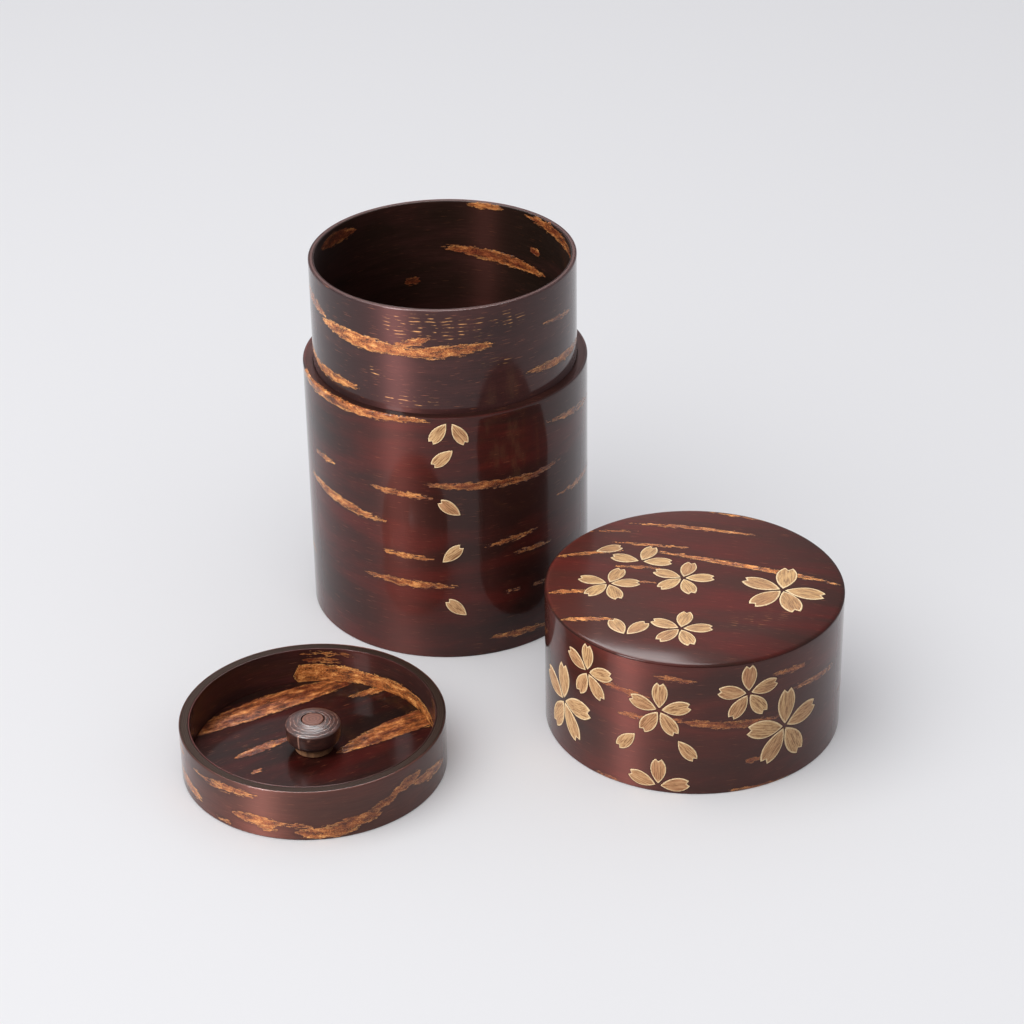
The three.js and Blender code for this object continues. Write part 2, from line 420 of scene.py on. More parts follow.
def wild_streaks(seed: int, count: int, angles: Pair, heights: Pair,
                 breadth: float = 1.1) -> tuple[Streak, ...]:
    """Scatters streaks over a stretch of wall.

    Args:
        seed: Seed of the draw.
        count: How many streaks.
        angles: First and last angle.
        heights: Lowest and highest place.
        breadth: Half the breadth of a middling streak.

    Returns:
        The streaks, nearly level.
    """
    draw = np.random.default_rng(seed)
    found = []
    for _ in range(count):
        angle, height = draw.uniform(*angles), draw.uniform(*heights)
        reach, fall = draw.uniform(15, 48), draw.uniform(-2.2, 1.0)
        size, tone = breadth * draw.uniform(0.5, 1.15), draw.uniform(0.3, 0.8)
        found.append(Streak((angle, height), (angle + reach, height + fall), size, tone))
    return tuple(found)


@dataclass(frozen=True)
class Sheet:
    """The marks on one sheet of bark, and how the sheet lies. Its seam is opposite its middle angle."""

    lay: Lay
    grain: float = 0.0
    streaks: tuple[Streak, ...] = ()
    patches: tuple[Patch, ...] = ()
    middle: float = 0.0

    def mark(self, mesh: bpy.types.Mesh, ring: Ring) -> None:
        """Writes a mesh's map and marks, all worked out from its final vertices.

        The map's first direction follows the grain. On a wall it is the arc and on a face it is the
        direction of the grain. Attributes streak, tone and dashes hold the marks.

        Args:
            mesh: The sheet's final mesh.
            ring: Sizes of the node that it stands for.
        """
        points = mesh_points(mesh)
        x, y, z = (points - [*ring.axis, 0]).T
        radius = ring.bore if self.lay is Lay.LINING else ring.radius
        wall = None if self.lay is Lay.FACE else radius
        u, v = (radius * np.arctan2(x, -y), z) if wall else (x, y)
        depth, tone = np.full(len(u), NO_STREAK), np.zeros(len(u))
        for streak in self.streaks:
            found = streak.depth(u, v, wall)
            tone = np.where(found > depth, streak.tone, tone)
            depth = np.maximum(depth, found)
        dashes = sum((p.weight(u, v, wall) for p in self.patches), np.zeros(len(u)))
        for name, values in (("streak", depth), ("tone", tone), ("dashes", dashes)):
            write_attribute(mesh, name, values)
        self.lay_map(mesh, u, v, radius)

    def lay_map(self, mesh: bpy.types.Mesh, u: Array, v: Array, radius: float) -> None:
        """Writes the map in millimetres. A face that crosses the seam keeps its corners together.

        Args:
            mesh: The mesh.
            u: Places of its vertices along the sheet.
            v: Places of its vertices up or back.
            radius: Radius of the wall.
        """
        corners = corner_vertices(mesh)
        sizes = np.empty(len(mesh.polygons), np.int32)
        mesh.polygons.foreach_get("loop_total", sizes)
        along, up = u[corners], v[corners]
        if self.lay is not Lay.FACE:
            turn = 2 * np.pi * radius
            start = radius * np.radians(self.middle) - turn / 2
            along = (along - start) % turn
            first = np.repeat(along[np.cumsum(sizes) - sizes], sizes)
            along = first + wrapped(along - first, turn)
        c, s = np.cos(np.radians(self.grain)), np.sin(np.radians(self.grain))
        write_map(mesh, np.stack([along * c + up * s, up * c - along * s], axis=-1))


def write_attribute(mesh: bpy.types.Mesh, name: str, values: Array) -> None:
    """Writes one number for each vertex."""
    made = mesh.attributes.new(name, "FLOAT", "POINT")
    made.data.foreach_set("value", values.astype(np.float32))


def write_map(mesh: bpy.types.Mesh, places: Array) -> None:
    """Writes the sheet's map, one pair of numbers for each face corner."""
    layer = mesh.uv_layers.new(name=UV_NAME)
    layer.data.foreach_set("uv", places.astype(np.float32).ravel())


# ---- Materials ----


@dataclass(frozen=True)
class Wire:
    """A value in a node tree. Its operators add the nodes that work them out."""

    pen: "Sketch"
    socket: bpy.types.NodeSocket

    def __add__(self, other: object) -> "Wire":
        """This value and another."""
        return self.pen.sum("ADD", self, other)

    def __sub__(self, other: object) -> "Wire":
        """This value less another."""
        return self.pen.sum("SUBTRACT", self, other)

    def __mul__(self, other: object) -> "Wire":
        """This value times another."""
        return self.pen.sum("MULTIPLY", self, other)

    def __truediv__(self, other: object) -> "Wire":
        """This value over another."""
        return self.pen.sum("DIVIDE", self, other)

    def fold(self, reach: float) -> "Wire":
        """This value folded to and fro between nothing and a reach."""
        return self.pen.sum("PINGPONG", self, reach)


class Sketch:
    """Draws the nodes of a material or of the world, one at a time."""

    def __init__(self, owner: bpy.types.ID) -> None:
        """Starts a drawing, which is empty for a material.

        Args:
            owner: The material or the world.
        """
        owner.use_nodes = True
        self.owner, self.tree = owner, owner.node_tree
        if isinstance(owner, bpy.types.Material):
            self.tree.nodes.clear()

    def add(self, kind: str, inputs: dict, **settings: object) -> bpy.types.Node:
        """Adds a node.

        Args:
            kind: Node type, without its ShaderNode prefix.
            inputs: Values or wires by input name or number. A colour goes without its alpha.
            **settings: Properties of the node.

        Returns:
            The node.
        """
        made = self.tree.nodes.new("ShaderNode" + kind)
        for key, value in settings.items():
            setattr(made, key, value)
        for key, value in inputs.items():
            socket = made.inputs[key]
            if isinstance(value, Wire):
                self.tree.links.new(value.socket, socket)
            else:
                socket.default_value = (*value, 1.0) if socket.type == "RGBA" else value
        return made

    def node(self, kind: str, inputs: dict, output: object = 0, **settings: object) -> Wire:
        """Adds a node and picks one of its outputs, by name or number."""
        return Wire(self, self.add(kind, inputs, **settings).outputs[output])

    def map(self, scale: Pair, shift: Pair = (0.0, 0.0)) -> Wire:
        """The sheet's own map, scaled along and across the grain."""
        source = self.node("UVMap", {}, uv_map=UV_NAME)
        return self.node("Mapping", {"Vector": source, "Scale": (*scale, 1.0), "Location": (*shift, 0.0)})

    def space(self, axis: Pair = (0.0, 0.0)) -> Wire:
        """Places in millimetres.

        Args:
            axis: Point of the floor that they are measured from.

        Returns:
            The place of each point, as a vector.
        """
        source = self.node("TexCoord", {}, "Object")
        moved = self.vector("SUBTRACT", source, (axis[0] * MM, axis[1] * MM, 0.0))
        return self.vector("MULTIPLY", moved, (1 / MM, 1 / MM, 1 / MM))

    def vector(self, kind: str, a: Wire, b: Colour) -> Wire:
        """A sum of two vectors, of the named kind."""
        return self.node("VectorMath", {0: a, 1: b}, operation=kind)

    def part(self, place: Wire, axis: str) -> Wire:
        """One coordinate of a place."""
        return self.node("SeparateXYZ", {0: place}, axis)

    def noise(self, place: Wire, scale: float = 1.0, detail: float = 3.0, rough: float = 0.5,
              bend: float = 0.0) -> Wire:
        """Noise from 0 to 1, centred on a half."""
        inputs = {"Vector": place, "Scale": scale, "Detail": detail, "Roughness": rough, "Distortion": bend}
        return self.node("TexNoise", inputs, "Fac")

    def attribute(self, name: str) -> Wire:
        """A number that the mesh carries."""
        return self.node("Attribute", {}, "Fac", attribute_name=name, attribute_type="GEOMETRY")

    def sum(self, kind: str, a: object, b: object = 0.0, clamp: bool = False) -> Wire:
        """A sum of two numbers, of the named kind."""
        return self.node("Math", {0: a, 1: b}, operation=kind, use_clamp=clamp)

    def ramp(self, value: Wire, low: float, high: float, to: Pair = (0.0, 1.0)) -> Wire:
        """Carries a number smoothly from one span to another, and holds it there."""
        inputs = {"Value": value, "From Min": low, "From Max": high, "To Min": to[0], "To Max": to[1]}
        return self.node("MapRange", inputs, interpolation_type="SMOOTHSTEP")

    def mix(self, share: object, a: object, b: object, kind: str = "MIX") -> Wire:
        """Mixes two colours."""
        return self.node("Mix", {0: share, 6: a, 7: b}, 2, data_type="RGBA", blend_type=kind)

    def bump(self, height: Wire, depth: float, strength: float) -> Wire:
        """A normal raised by a height from 0 to 1, which stands for a depth in millimetres."""
        return self.node("Bump", {"Height": height, "Distance": depth * MM, "Strength": strength})

    def surface(self, colour: Wire, **inputs: object) -> bpy.types.Material:
        """Ends a material with its shader.

        Args:
            colour: Base colour.
            **inputs: The shader's other inputs, with _ for a space.

        Returns:
            The finished material.
        """
        values = {key.replace("_", " "): value for key, value in inputs.items()}
        self.add("OutputMaterial", {"Surface": self.node("BsdfPrincipled", {"Base Color": colour, **values})})
        return self.owner


CORK_SHADOW: Colour = (0.016, 0.004, 0.003)
CORK_FLESH = ((0.062, 0.011, 0.004), (0.260, 0.066, 0.013))  # red-brown and golden
CORK_CREST = ((0.215, 0.060, 0.020), (0.680, 0.340, 0.105))
CORK_FIBRE, CORK_GRIT, CORK_CLUMP = 0.34, 0.62, 1.5  # shares of three patterns in the cork's light
CORK_BLUSH = 2.1  # how far the tone wanders
CORK_TEAR = 3.8  # how far a streak's edge is torn, in millimetres
HAIRLINE: Colour = (0.30, 0.10, 0.05)
DASH_GOLD: Colour = (0.50, 0.24, 0.09)
STREAK_BORDER: Colour = (0.006, 0.003, 0.002)


@dataclass(frozen=True)
class CherryBark:
    """Cherry bark with its corky streaks, polished more or less.

    The sheen is the broad, tinted gloss of the fibres, drawn out across the grain. The polish is the
    clear film over it.
    """

    name: str
    deep: Colour = (0.004, 0.002, 0.0015)
    red: Colour = (0.032, 0.004, 0.0025)
    redness: Pair = (0.38, 0.70)
    roughness: float = 0.6
    sheen: float = 0.7
    tint: Colour = (1.0, 0.30, 0.25)
    polish: float = 1.0
    polish_roughness: float = 0.09
    gold: float = 0.5
    hairlines: float = 0.35
    dull_below: float = 0.0
    dull_depth: float = 1.0
    dulling: float = 0.13

    def cork(self, pen: Sketch, depth: Wire) -> tuple[Wire, Wire, Wire]:
        """Colour, mask and relief of the streaks.

        Args:
            pen: The material that is drawn.
            depth: How deep a point lies in a streak.

        Returns:
            The colour, the mask and the height of the cork.
        """
        ragged = pen.noise(pen.map((0.40, 1.7)), detail=5, rough=0.7)
        place = depth + (ragged * CORK_TEAR - 2.05)
        mask = pen.ramp(place, -0.05, 0.08)
        swirl = pen.noise(pen.map((0.20, 0.46), (1.0, 6.0)), detail=4, rough=0.6, bend=1.8)
        fibre = (swirl * 13.0).fold(0.5) * 2.0
        grit = pen.noise(pen.map((1.8, 4.8), (3.0, 1.0)), detail=5, rough=0.75, bend=0.8)
        clump = pen.noise(pen.map((0.26, 0.62), (8.0, 3.0)), detail=3, rough=0.6)
        light = fibre * CORK_FIBRE + grit * CORK_GRIT + (clump - 0.52) * CORK_CLUMP
        tone = pen.attribute("tone") + (self.gold - 0.5)
        blush = pen.noise(pen.map((0.16, 0.5), (7.0, 2.0)), detail=3)
        tone = pen.sum("ADD", tone, (blush - 0.5) * CORK_BLUSH, clamp=True)
        flesh, crest = pen.mix(tone, *CORK_FLESH), pen.mix(tone, *CORK_CREST)
        colour = pen.mix(pen.ramp(light, 0.28, 0.46), CORK_SHADOW, flesh)
        colour = pen.mix(pen.ramp(light, 0.54, 0.80), colour, crest)
        loops = pen.noise(pen.map((0.42, 0.80), (4.0, 2.0)), detail=2, rough=0.5, bend=2.6)
        curl = (loops * 11.0).fold(0.5)
        curls = pen.ramp(curl, 0.13, 0.02) * pen.ramp(grit, 0.38, 0.58, (0.0, 0.75))
        colour = pen.mix(curls, colour, crest)
        rim = pen.ramp(place, 0.0, 0.10) * pen.ramp(place, 0.38, 0.14)
        colour = pen.mix(rim * pen.ramp(grit, 0.35, 0.62, (0.15, 0.9)), colour, crest)
        return colour, mask, light

    def dashes(self, pen: Sketch) -> Wire:
        """Mask of the short level dashes: ranks of fine bars, some of them missing.

        Args:
            pen: The material that is drawn.

        Returns:
            The mask, from 0 to 1.
        """
        sway = pen.noise(pen.map((0.12, 0.35)), detail=2)
        place = pen.map((1.0, 1.0))
        along = (pen.part(place, "X") + sway * 3.0).fold(2.1)
        across = (pen.part(place, "Y") + sway * 1.5).fold(0.52)
        bars = pen.ramp(along, 0.35, 1.25) * pen.ramp(across, 0.37, 0.47)
        kept = pen.ramp(pen.noise(pen.map((0.34, 1.5), (2.0, 4.0)), detail=3), 0.44, 0.62)
        return bars * kept * pen.ramp(pen.attribute("dashes"), 0.15, 0.6)

    def material(self) -> bpy.types.Material:
        """Makes the material: bark, its hairlines and dashes, and the cork over them.

        Returns:
            The finished material.
        """
        pen = Sketch(bpy.data.materials.new(self.name))
        cloud = pen.noise(pen.map((0.018, 0.075)), detail=4, rough=0.6, bend=0.4)
        bark = pen.mix(pen.ramp(cloud, *self.redness), self.deep, self.red)
        fibre = pen.noise(pen.map((0.10, 3.2)), detail=5, rough=0.7)
        bark = pen.mix(pen.ramp(fibre, 0.35, 0.75), bark, pen.mix(1.0, bark, (1.9, 1.9, 2.0), "MULTIPLY"))
        hair = pen.noise(pen.map((0.22, 5.5), (5.0, 9.0)), detail=2, rough=0.4)
        bark = pen.mix(pen.ramp(hair, 0.66, 0.76) * self.hairlines, bark, HAIRLINE)
        bark = pen.mix(self.dashes(pen), bark, DASH_GOLD)
        edge = pen.ramp(pen.attribute("streak"), -1.3, 0.0, (0.0, 0.55))
        bark = pen.mix(edge, bark, STREAK_BORDER)
        cork, mask, light = self.cork(pen, pen.attribute("streak"))
        colour = pen.mix(mask, bark, cork)
        relief = mask * pen.ramp(light, 0.1, 1.1, (0.3, 1.0)) + fibre * 0.06
        normal = pen.bump(relief, 0.10, 0.55)
        tangent = pen.node("Tangent", {}, direction_type="UV_MAP", uv_map=UV_NAME)
        height = pen.part(pen.space(), "Z")
        worn = pen.ramp(height, self.dull_below, self.dull_below - self.dull_depth)
        rough = pen.ramp(mask, 0.0, 1.0, (self.roughness, self.roughness + 0.15))
        return pen.surface(
            colour, Roughness=pen.sum("ADD", rough, worn * self.dulling, clamp=True), IOR=BARK_IOR,
            Specular_IOR_Level=self.sheen, Specular_Tint=self.tint, Anisotropic=1.0,
            Anisotropic_Rotation=0.25, Tangent=tangent, Normal=normal, Coat_Weight=self.polish,
            Coat_Roughness=self.polish_roughness, Coat_IOR=FILM_IOR, Coat_Normal=normal,
        )


@dataclass(frozen=True)
class SawnWood:
    """Turned or sawn wood: growth rings and pores, stained where an edge shows.

    The stain covers what lies above one height and below another.
    """

    name: str
    light: Colour = (0.42, 0.25, 0.13)
    dark: Colour = (0.26, 0.14, 0.07)
    stain: Colour = (0.060, 0.020, 0.016)
    stained_above: float = 1000.0
    stained_below: float = -1000.0
    ring_pitch: float = 1.6
    centre: Pair = (0.0, 0.0)
    roughness: float = 0.62
    gloss: float = 0.3

    def material(self) -> bpy.types.Material:
        """Makes the material.

        Returns:
            The finished material.
        """
        pen = Sketch(bpy.data.materials.new(self.name))
        place = pen.space(self.centre)
        long_way = pen.vector("MULTIPLY", place, (1.0, 1.0, 0.12))
        wander = pen.noise(long_way, 0.22, detail=3)
        level = pen.vector("MULTIPLY", place, (1.0, 1.0, 0.0))
        reach = pen.node("VectorMath", {0: level}, "Value", operation="LENGTH")
        rings = (reach / self.ring_pitch + wander * 3.0).fold(0.5)
        pores = pen.noise(long_way, 3.4, detail=4, rough=0.7)
        colour = pen.mix(pen.ramp(rings, 0.0, 0.5), self.light, self.dark)
        colour = pen.mix(pen.ramp(pores, 0.45, 0.75, (0.0, 0.5)), colour, self.dark)
        height = pen.part(place, "Z")
        above = pen.ramp(height, self.stained_above - 0.2, self.stained_above)
        below = pen.ramp(height, self.stained_below + 0.2, self.stained_below)
        stained = pen.mix(pen.ramp(pores, 0.3, 0.8), self.stain, tuple(1.5 * c for c in self.stain))
        colour = pen.mix(pen.sum("MAXIMUM", above, below), colour, stained)
        rough = pen.ramp(pores, 0.3, 0.8, (self.roughness, self.roughness + 0.15))
        relief = pen.bump(pores, 0.05, 0.35)
        return pen.surface(colour, Roughness=rough, Normal=relief, Specular_IOR_Level=self.gloss)


@dataclass(frozen=True)
class PetalBark:
    """Pale, cut bark of the inlaid petals: fine grain along each petal and a bright edge."""

    name: str
    pale: Colour = (0.440, 0.270, 0.128)
    tan: Colour = (0.325, 0.155, 0.074)
    grain: Colour = (0.140, 0.056, 0.020)
    edge: Colour = (0.560, 0.410, 0.240)

    def material(self) -> bpy.types.Material:
        """Makes the material.

        Returns:
            The finished material.
        """
        pen = Sketch(bpy.data.materials.new(self.name))
        broad = pen.noise(pen.map((0.12, 0.55)), detail=3, rough=0.6)
        share = pen.sum("ADD", pen.attribute("tone"), (broad - 0.5) * 1.4, clamp=True)
        colour = pen.mix(share, self.pale, self.tan)
        lines = pen.noise(pen.map((0.26, 3.6)), detail=4, rough=0.7, bend=0.6)
        colour = pen.mix(pen.ramp(lines, 0.46, 0.60, (0.0, 0.9)), colour, self.grain)
        colour = pen.mix(pen.ramp(lines, 0.42, 0.28, (0.0, 0.6)), colour, self.edge)
        flecks = pen.noise(pen.map((1.6, 1.6)), detail=3)
        rim = pen.ramp(pen.attribute("rim"), 0.84, 0.93) * pen.ramp(flecks, 0.25, 0.6, (0.35, 1.0))
        colour = pen.mix(rim, colour, self.edge)
        relief = pen.bump(lines, 0.05, 0.5)
        return pen.surface(
            colour, Roughness=0.5, Normal=relief, Specular_IOR_Level=0.25,
            Coat_Weight=0.2, Coat_Roughness=0.25, Coat_IOR=FILM_IOR,
        )


@dataclass(frozen=True)
class WoundBark:
    """A strip of bark wound on itself, with each turn showing as a ring on the face."""

    name: str
    centre: Pair
    dark: Colour = (0.014, 0.005, 0.004)
    mid: Colour = (0.050, 0.016, 0.011)
    line: Colour = (0.230, 0.120, 0.088)
    pitch: float = 1.02
    radius: float = 7.4
    seam: float = 2.08

    def material(self) -> bpy.types.Material:
        """Makes the material.

        Returns:
            The finished material.
        """
        pen = Sketch(bpy.data.materials.new(self.name))
        place = pen.space(self.centre)
        x, y = pen.part(place, "X"), pen.part(place, "Y")
        reach, angle = pen.sum("SQRT", x * x + y * y), pen.sum("ARCTAN2", y, x)
        winding = reach / self.pitch + angle / (2 * np.pi)
        turns = (winding + pen.noise(place, 0.35, detail=2) * 1.2).fold(0.5)
        fibre = pen.noise(pen.vector("MULTIPLY", place, (0.35, 0.35, 3.0)), 1.3, detail=4, rough=0.7)
        colour = pen.mix(pen.ramp(fibre, 0.35, 0.7), self.dark, self.mid)
        worn = pen.ramp(pen.noise(place, 0.8, detail=3), 0.4, 0.7)
        seam = pen.sum("ABSOLUTE", angle + self.seam)
        on_side = pen.ramp(reach, self.radius - 0.6, self.radius - 0.2)
        lines = pen.sum("MAXIMUM", pen.ramp(turns, 0.17, 0.0) * worn, pen.ramp(seam, 0.05, 0.0) * on_side)
        colour = pen.mix(lines * 0.9, colour, self.line)
        relief = pen.ramp(turns, 0.0, 0.2) + fibre * 0.5
        normal = pen.bump(relief, 0.08, 0.5)
        return pen.surface(
            colour, Roughness=0.42, Normal=normal, Specular_IOR_Level=0.45,
            Coat_Weight=0.5, Coat_Roughness=0.2, Coat_IOR=1.4, Coat_Normal=normal,
        )


@dataclass(frozen=True)
class PlainFloor:
    """A matt, pale, seamless floor."""

    name: str = "pale_floor"
    colour: Colour = (0.86, 0.86, 0.875)

    def material(self) -> bpy.types.Material:
        """Makes the material.

        Returns:
            The finished material.
        """
        pen = Sketch(bpy.data.materials.new(self.name))
        soft = pen.noise(pen.node("TexCoord", {}, "Object"), 2.0, detail=2)
        colour = pen.mix(soft, self.colour, tuple(0.985 * c for c in self.colour))
        return pen.surface(colour, Roughness=0.8, Specular_IOR_Level=0.1)


# ---- Pieces ----


def add_piece(mesh: bpy.types.Mesh, body: str, nodes: Sequence[str],
              material: bpy.types.Material) -> bpy.types.Object:
    """Puts a finished mesh into the scene in place of nodes of the frame.

    Args:
        mesh: The mesh, whose name becomes the piece's.
        body: Body that it rides on.
        nodes: Nodes that it stands for.
        material: Its material.

    Returns:
        The new object.
    """
    finish_shading(mesh)
    made = put_in_scene(mesh.name, mesh)
    mesh.materials.append(material)
    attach(made, body)
    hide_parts(*nodes)
    LOG.info("%s rides on %s: %d faces", made.name, body, len(mesh.polygons))
    return made


def cut_out(mesh: bpy.types.Mesh, cutters: bpy.types.Mesh) -> bpy.types.Mesh:
    """Cuts closed shapes out of a closed sheet.

    Args:
        mesh: The sheet.
        cutters: All the shapes in one mesh, clear of each other.

    Returns:
        The cut sheet, under the sheet's name.
    """
    sheet, tool = put_in_scene("blank", mesh), put_in_scene("cutters", cutters)
    change = sheet.modifiers.new("windows", "BOOLEAN")
    change.operation, change.solver, change.object = "DIFFERENCE", "MANIFOLD", tool
    graph = bpy.context.evaluated_depsgraph_get()
    cut = bpy.data.meshes.new_from_object(sheet.evaluated_get(graph), depsgraph=graph)
    name = mesh.name
    for thing in (sheet, tool):
        bpy.data.objects.remove(thing)
    bpy.data.meshes.remove(mesh)
    bpy.data.meshes.remove(cutters)
    cut.name = name
    cut.materials.clear()
    cut.polygons.foreach_set("material_index", np.zeros(len(cut.polygons), np.int32))
    return cut


@dataclass(frozen=True)
class Petal:
    """Flat size of one inlaid petal."""

    length: float
    width: float

    def heart(self) -> Array:
        """The point that its rings shrink to."""
        return np.array([HEART_SHARE * self.length, 0.0])

    def outline(self, steps: int = 14) -> Array:
        """Outline along the first axis with its point at nothing: two full curves and a notched tip.

        Each side is a cubic curve from the point to the tip, and the notch goes in a tenth.

        Args:
            steps: Steps along each side.

        Returns:
            An (n, 2) array, anticlockwise.
        """
        t = np.linspace(0, 1, steps + 1)[:, None]
        size = np.array([self.length, self.width])
        first, second, tip = (np.array(p) * size for p in ((0.32, -0.56), (0.74, -0.68), (1.0, -0.2)))
        side = 3 * (1 - t) ** 2 * t * first + 3 * (1 - t) * t**2 * second + t**3 * tip
        notch = np.linspace(side[-1], np.array([0.9, 0.0]) * size, 4)[1:]
        half = np.concatenate([side, notch])
        return np.concatenate([half, half[-2:0:-1] * [1, -1]])


SMALL_PETAL = Petal(7.7, 4.2)
LARGE_PETAL = Petal(10.7, 5.6)
FALLEN_PETAL = Petal(7.3, 3.7)
HEART_SHARE = 0.55  # place of a petal's middle along it
HEART_GAP = 0.7  # middle of a blossom to the point of a petal
WINDOW_GAP = 0.09  # joint round an inlaid petal
PROUD = 0.05  # how far an inlay stands out of its sheet
PETAL_LEVELS = np.array([
    (0.0, -0.5), (1.0, -0.5), (1.0, 0.0), (0.985, 0.7 * PROUD), (0.955, PROUD), (0.93, 0.9 * PROUD),
    (0.84, 0.8 * PROUD), (0.6, 1.15 * PROUD), (0.3, 1.35 * PROUD), (0.0, 1.4 * PROUD),
])
CUTTER_LEVELS = np.array([(0.0, -2.0), (1.0, -2.0), (1.0, 2.0), (0.0, 2.0)])


@dataclass(frozen=True)
class Figure:
    """A blossom, a spray or a fallen petal.

    On the side its place is (angle, share of the height), and on the top shares of the radius
    from the axis. Directions turn from the body's right towards its top or its back.
    """

    node: str
    at: Pair
    petal: Petal
    directions: tuple[float, ...]

    def outlines(self, grow: float) -> list[tuple[Array, Array]]:
        """Outlines of the petals about the figure's own middle.

        Args:
            grow: How far they are grown all round.

        Returns:
            For each petal its outline and its middle, once in its own frame and once laid out.
        """
        gap = HEART_GAP if len(self.directions) > 1 else 0.0
        scale = 1 + 2 * grow / self.petal.width
        middle = self.petal.heart()
        flat = middle + (self.petal.outline() - middle) * scale
        found = []
        for direction in self.directions:
            c, s = np.cos(np.radians(direction)), np.sin(np.radians(direction))
            turn = np.array([[c, s], [-s, c]])
            start = gap * np.array([c, s])
            found.append((flat @ turn + start, middle @ turn + start))
        return found

    def solids(self, levels: Array, grow: float) -> tuple[Array, Array, list[Array]]:
        """Closed solids for the petals, in the flat: rings of the outline shrunk about its middle.

        Args:
            levels: Rows of share of the outline and height, from the low pole to the high one.
            grow: How far the outline is grown.

        Returns:
            Points as (x, y, height), their own places on the petal as (x, y, share), and faces.
        """
        points, own, quads, fans, first = [], [], [], [], 0
        flat = self.petal.outline()
        heart = self.petal.heart()
        for outline, middle in self.outlines(grow):
            share, height = levels[1:-1, 0, None, None], levels[1:-1, 1, None]
            spread = middle + (outline - middle) * share
            rings = np.concatenate([spread, np.broadcast_to(height[..., None], spread.shape[:2] + (1,))], -1)
            poles = np.array([[*middle, levels[0, 1]], [*middle, levels[-1, 1]]])
            points.append(np.concatenate([rings.reshape(-1, 3), poles]))
            local = heart + (flat - heart) * share
            shares = np.broadcast_to(share, local.shape[:2] + (1,))
            mine = np.concatenate([local, shares], -1).reshape(-1, 3)
            own.append(np.concatenate([mine, [[*heart, 0.0], [*heart, 0.0]]]))
            rows = first + np.arange(rings.shape[0] * rings.shape[1]).reshape(rings.shape[:2])
            low = int(rows[-1, -1]) + 1
            quads.append(grid_faces(rows, closed=False))
            fans += [pole_faces(low, rows[0], False), pole_faces(low + 1, rows[-1], True)]
            first = low + 2
        return np.concatenate(points), np.concatenate(own), [np.concatenate(quads), np.concatenate(fans)]


@dataclass(frozen=True)
class Ground:
    """The face that figures are laid on: a wall of some radius, or a crowned top."""

    lay: Lay
    axis: Pair
    radius: float
    height: float
    crown: Optional["Crown"] = None

    def place(self, figure: Figure, flat: Array) -> Array:
        """Lays flat points on the ground.

        On a wall a point (x, y, h) goes to the angle of the figure plus x over the radius, the
        figure's height plus y and the radius plus h. On the top it is moved to the figure and
        raised by h above the crown.

        Args:
            figure: The figure that the points belong to.
            flat: An (n, 3) array.

        Returns:
            An (n, 3) array in the frame.
        """
        x, y, h = flat.T
        if self.lay is Lay.WALL:
            angle = np.radians(figure.at[0]) + x / self.radius
            reach = self.radius + h
            across, back = self.axis[0] + reach * np.sin(angle), self.axis[1] - reach * np.cos(angle)
            return np.stack([across, back, figure.at[1] * self.height + y], axis=-1)
        across, back = figure.at[0] * self.radius + x, figure.at[1] * self.radius + y
        level = self.crown.height_at(np.hypot(across, back))
        return np.stack([self.axis[0] + across, self.axis[1] + back, level + h], axis=-1)


@dataclass(frozen=True)
class Crown:
    """The gently crowned top of the cap: flat in the middle, falling towards a rounded edge."""

    radius: float
    top: float
    flat_radius: float = 28.0
    fall: float = 0.44
    shoulder: float = 1.2

    def height_at(self, reach: Array) -> Array:
        """Height of the top at some reach from the axis: level, then a falling parabola."""
        span = self.radius - self.shoulder - self.flat_radius
        return self.top - self.fall * (np.maximum(0, reach - self.flat_radius) / span) ** 2

    def profile(self, under: float, lip: float, bore: float, step: float) -> Array:
        """Closed profile of the sheet, with a cubic curve round the edge.

        Args:
            under: Height of its underside.
            lip: Height of the lip that turns down over the wood.
            bore: Radius inside the lip.
            step: Step across the top.

        Returns:
            Rows of radius and height from the axis below to the axis above.
        """
        inside = [(0, under, 0), (bore, under, 0), (bore, lip, 0), (self.radius, lip, 0)]
        below = softened(inside, step, closed=False)
        corner = self.radius - self.shoulder
        slope = -2 * self.fall / (corner - self.flat_radius)
        t = np.linspace(0, 1, 11)[1:, None]
        start, end = np.array([self.radius, lip]), np.array([corner, float(self.height_at(corner))])
        rise = start + np.array([0.0, 0.62 * (end[1] - lip)])
        run = end + np.array([0.55 * self.shoulder, 0.55 * self.shoulder * slope])
        bend = (1 - t) ** 3 * start + 3 * (1 - t) ** 2 * t * rise + 3 * (1 - t) * t**2 * run + t**3 * end
        across = np.linspace(corner, 0, int(corner / step) + 1)[1:]
        return np.concatenate([below, bend, np.stack([across, self.height_at(across)], axis=-1)])


def figure_cutters(figures: Sequence[Figure], ground: Ground) -> bpy.types.Mesh:
    """Cutters for the windows of all the figures on one ground.

    Args:
        figures: The figures.
        ground: What they are laid on.

    Returns:
        One mesh of closed, separate solids.
    """
    points, quads, fans, first = [], [], [], 0
    for figure in figures:
        flat, _, (quad, fan) = figure.solids(CUTTER_LEVELS, WINDOW_GAP)
        points.append(ground.place(figure, flat))
        quads.append(quad + first)
        fans.append(fan + first)
        first += len(flat)
    return make_mesh("cutters", np.concatenate(points), [np.concatenate(quads), np.concatenate(fans)])


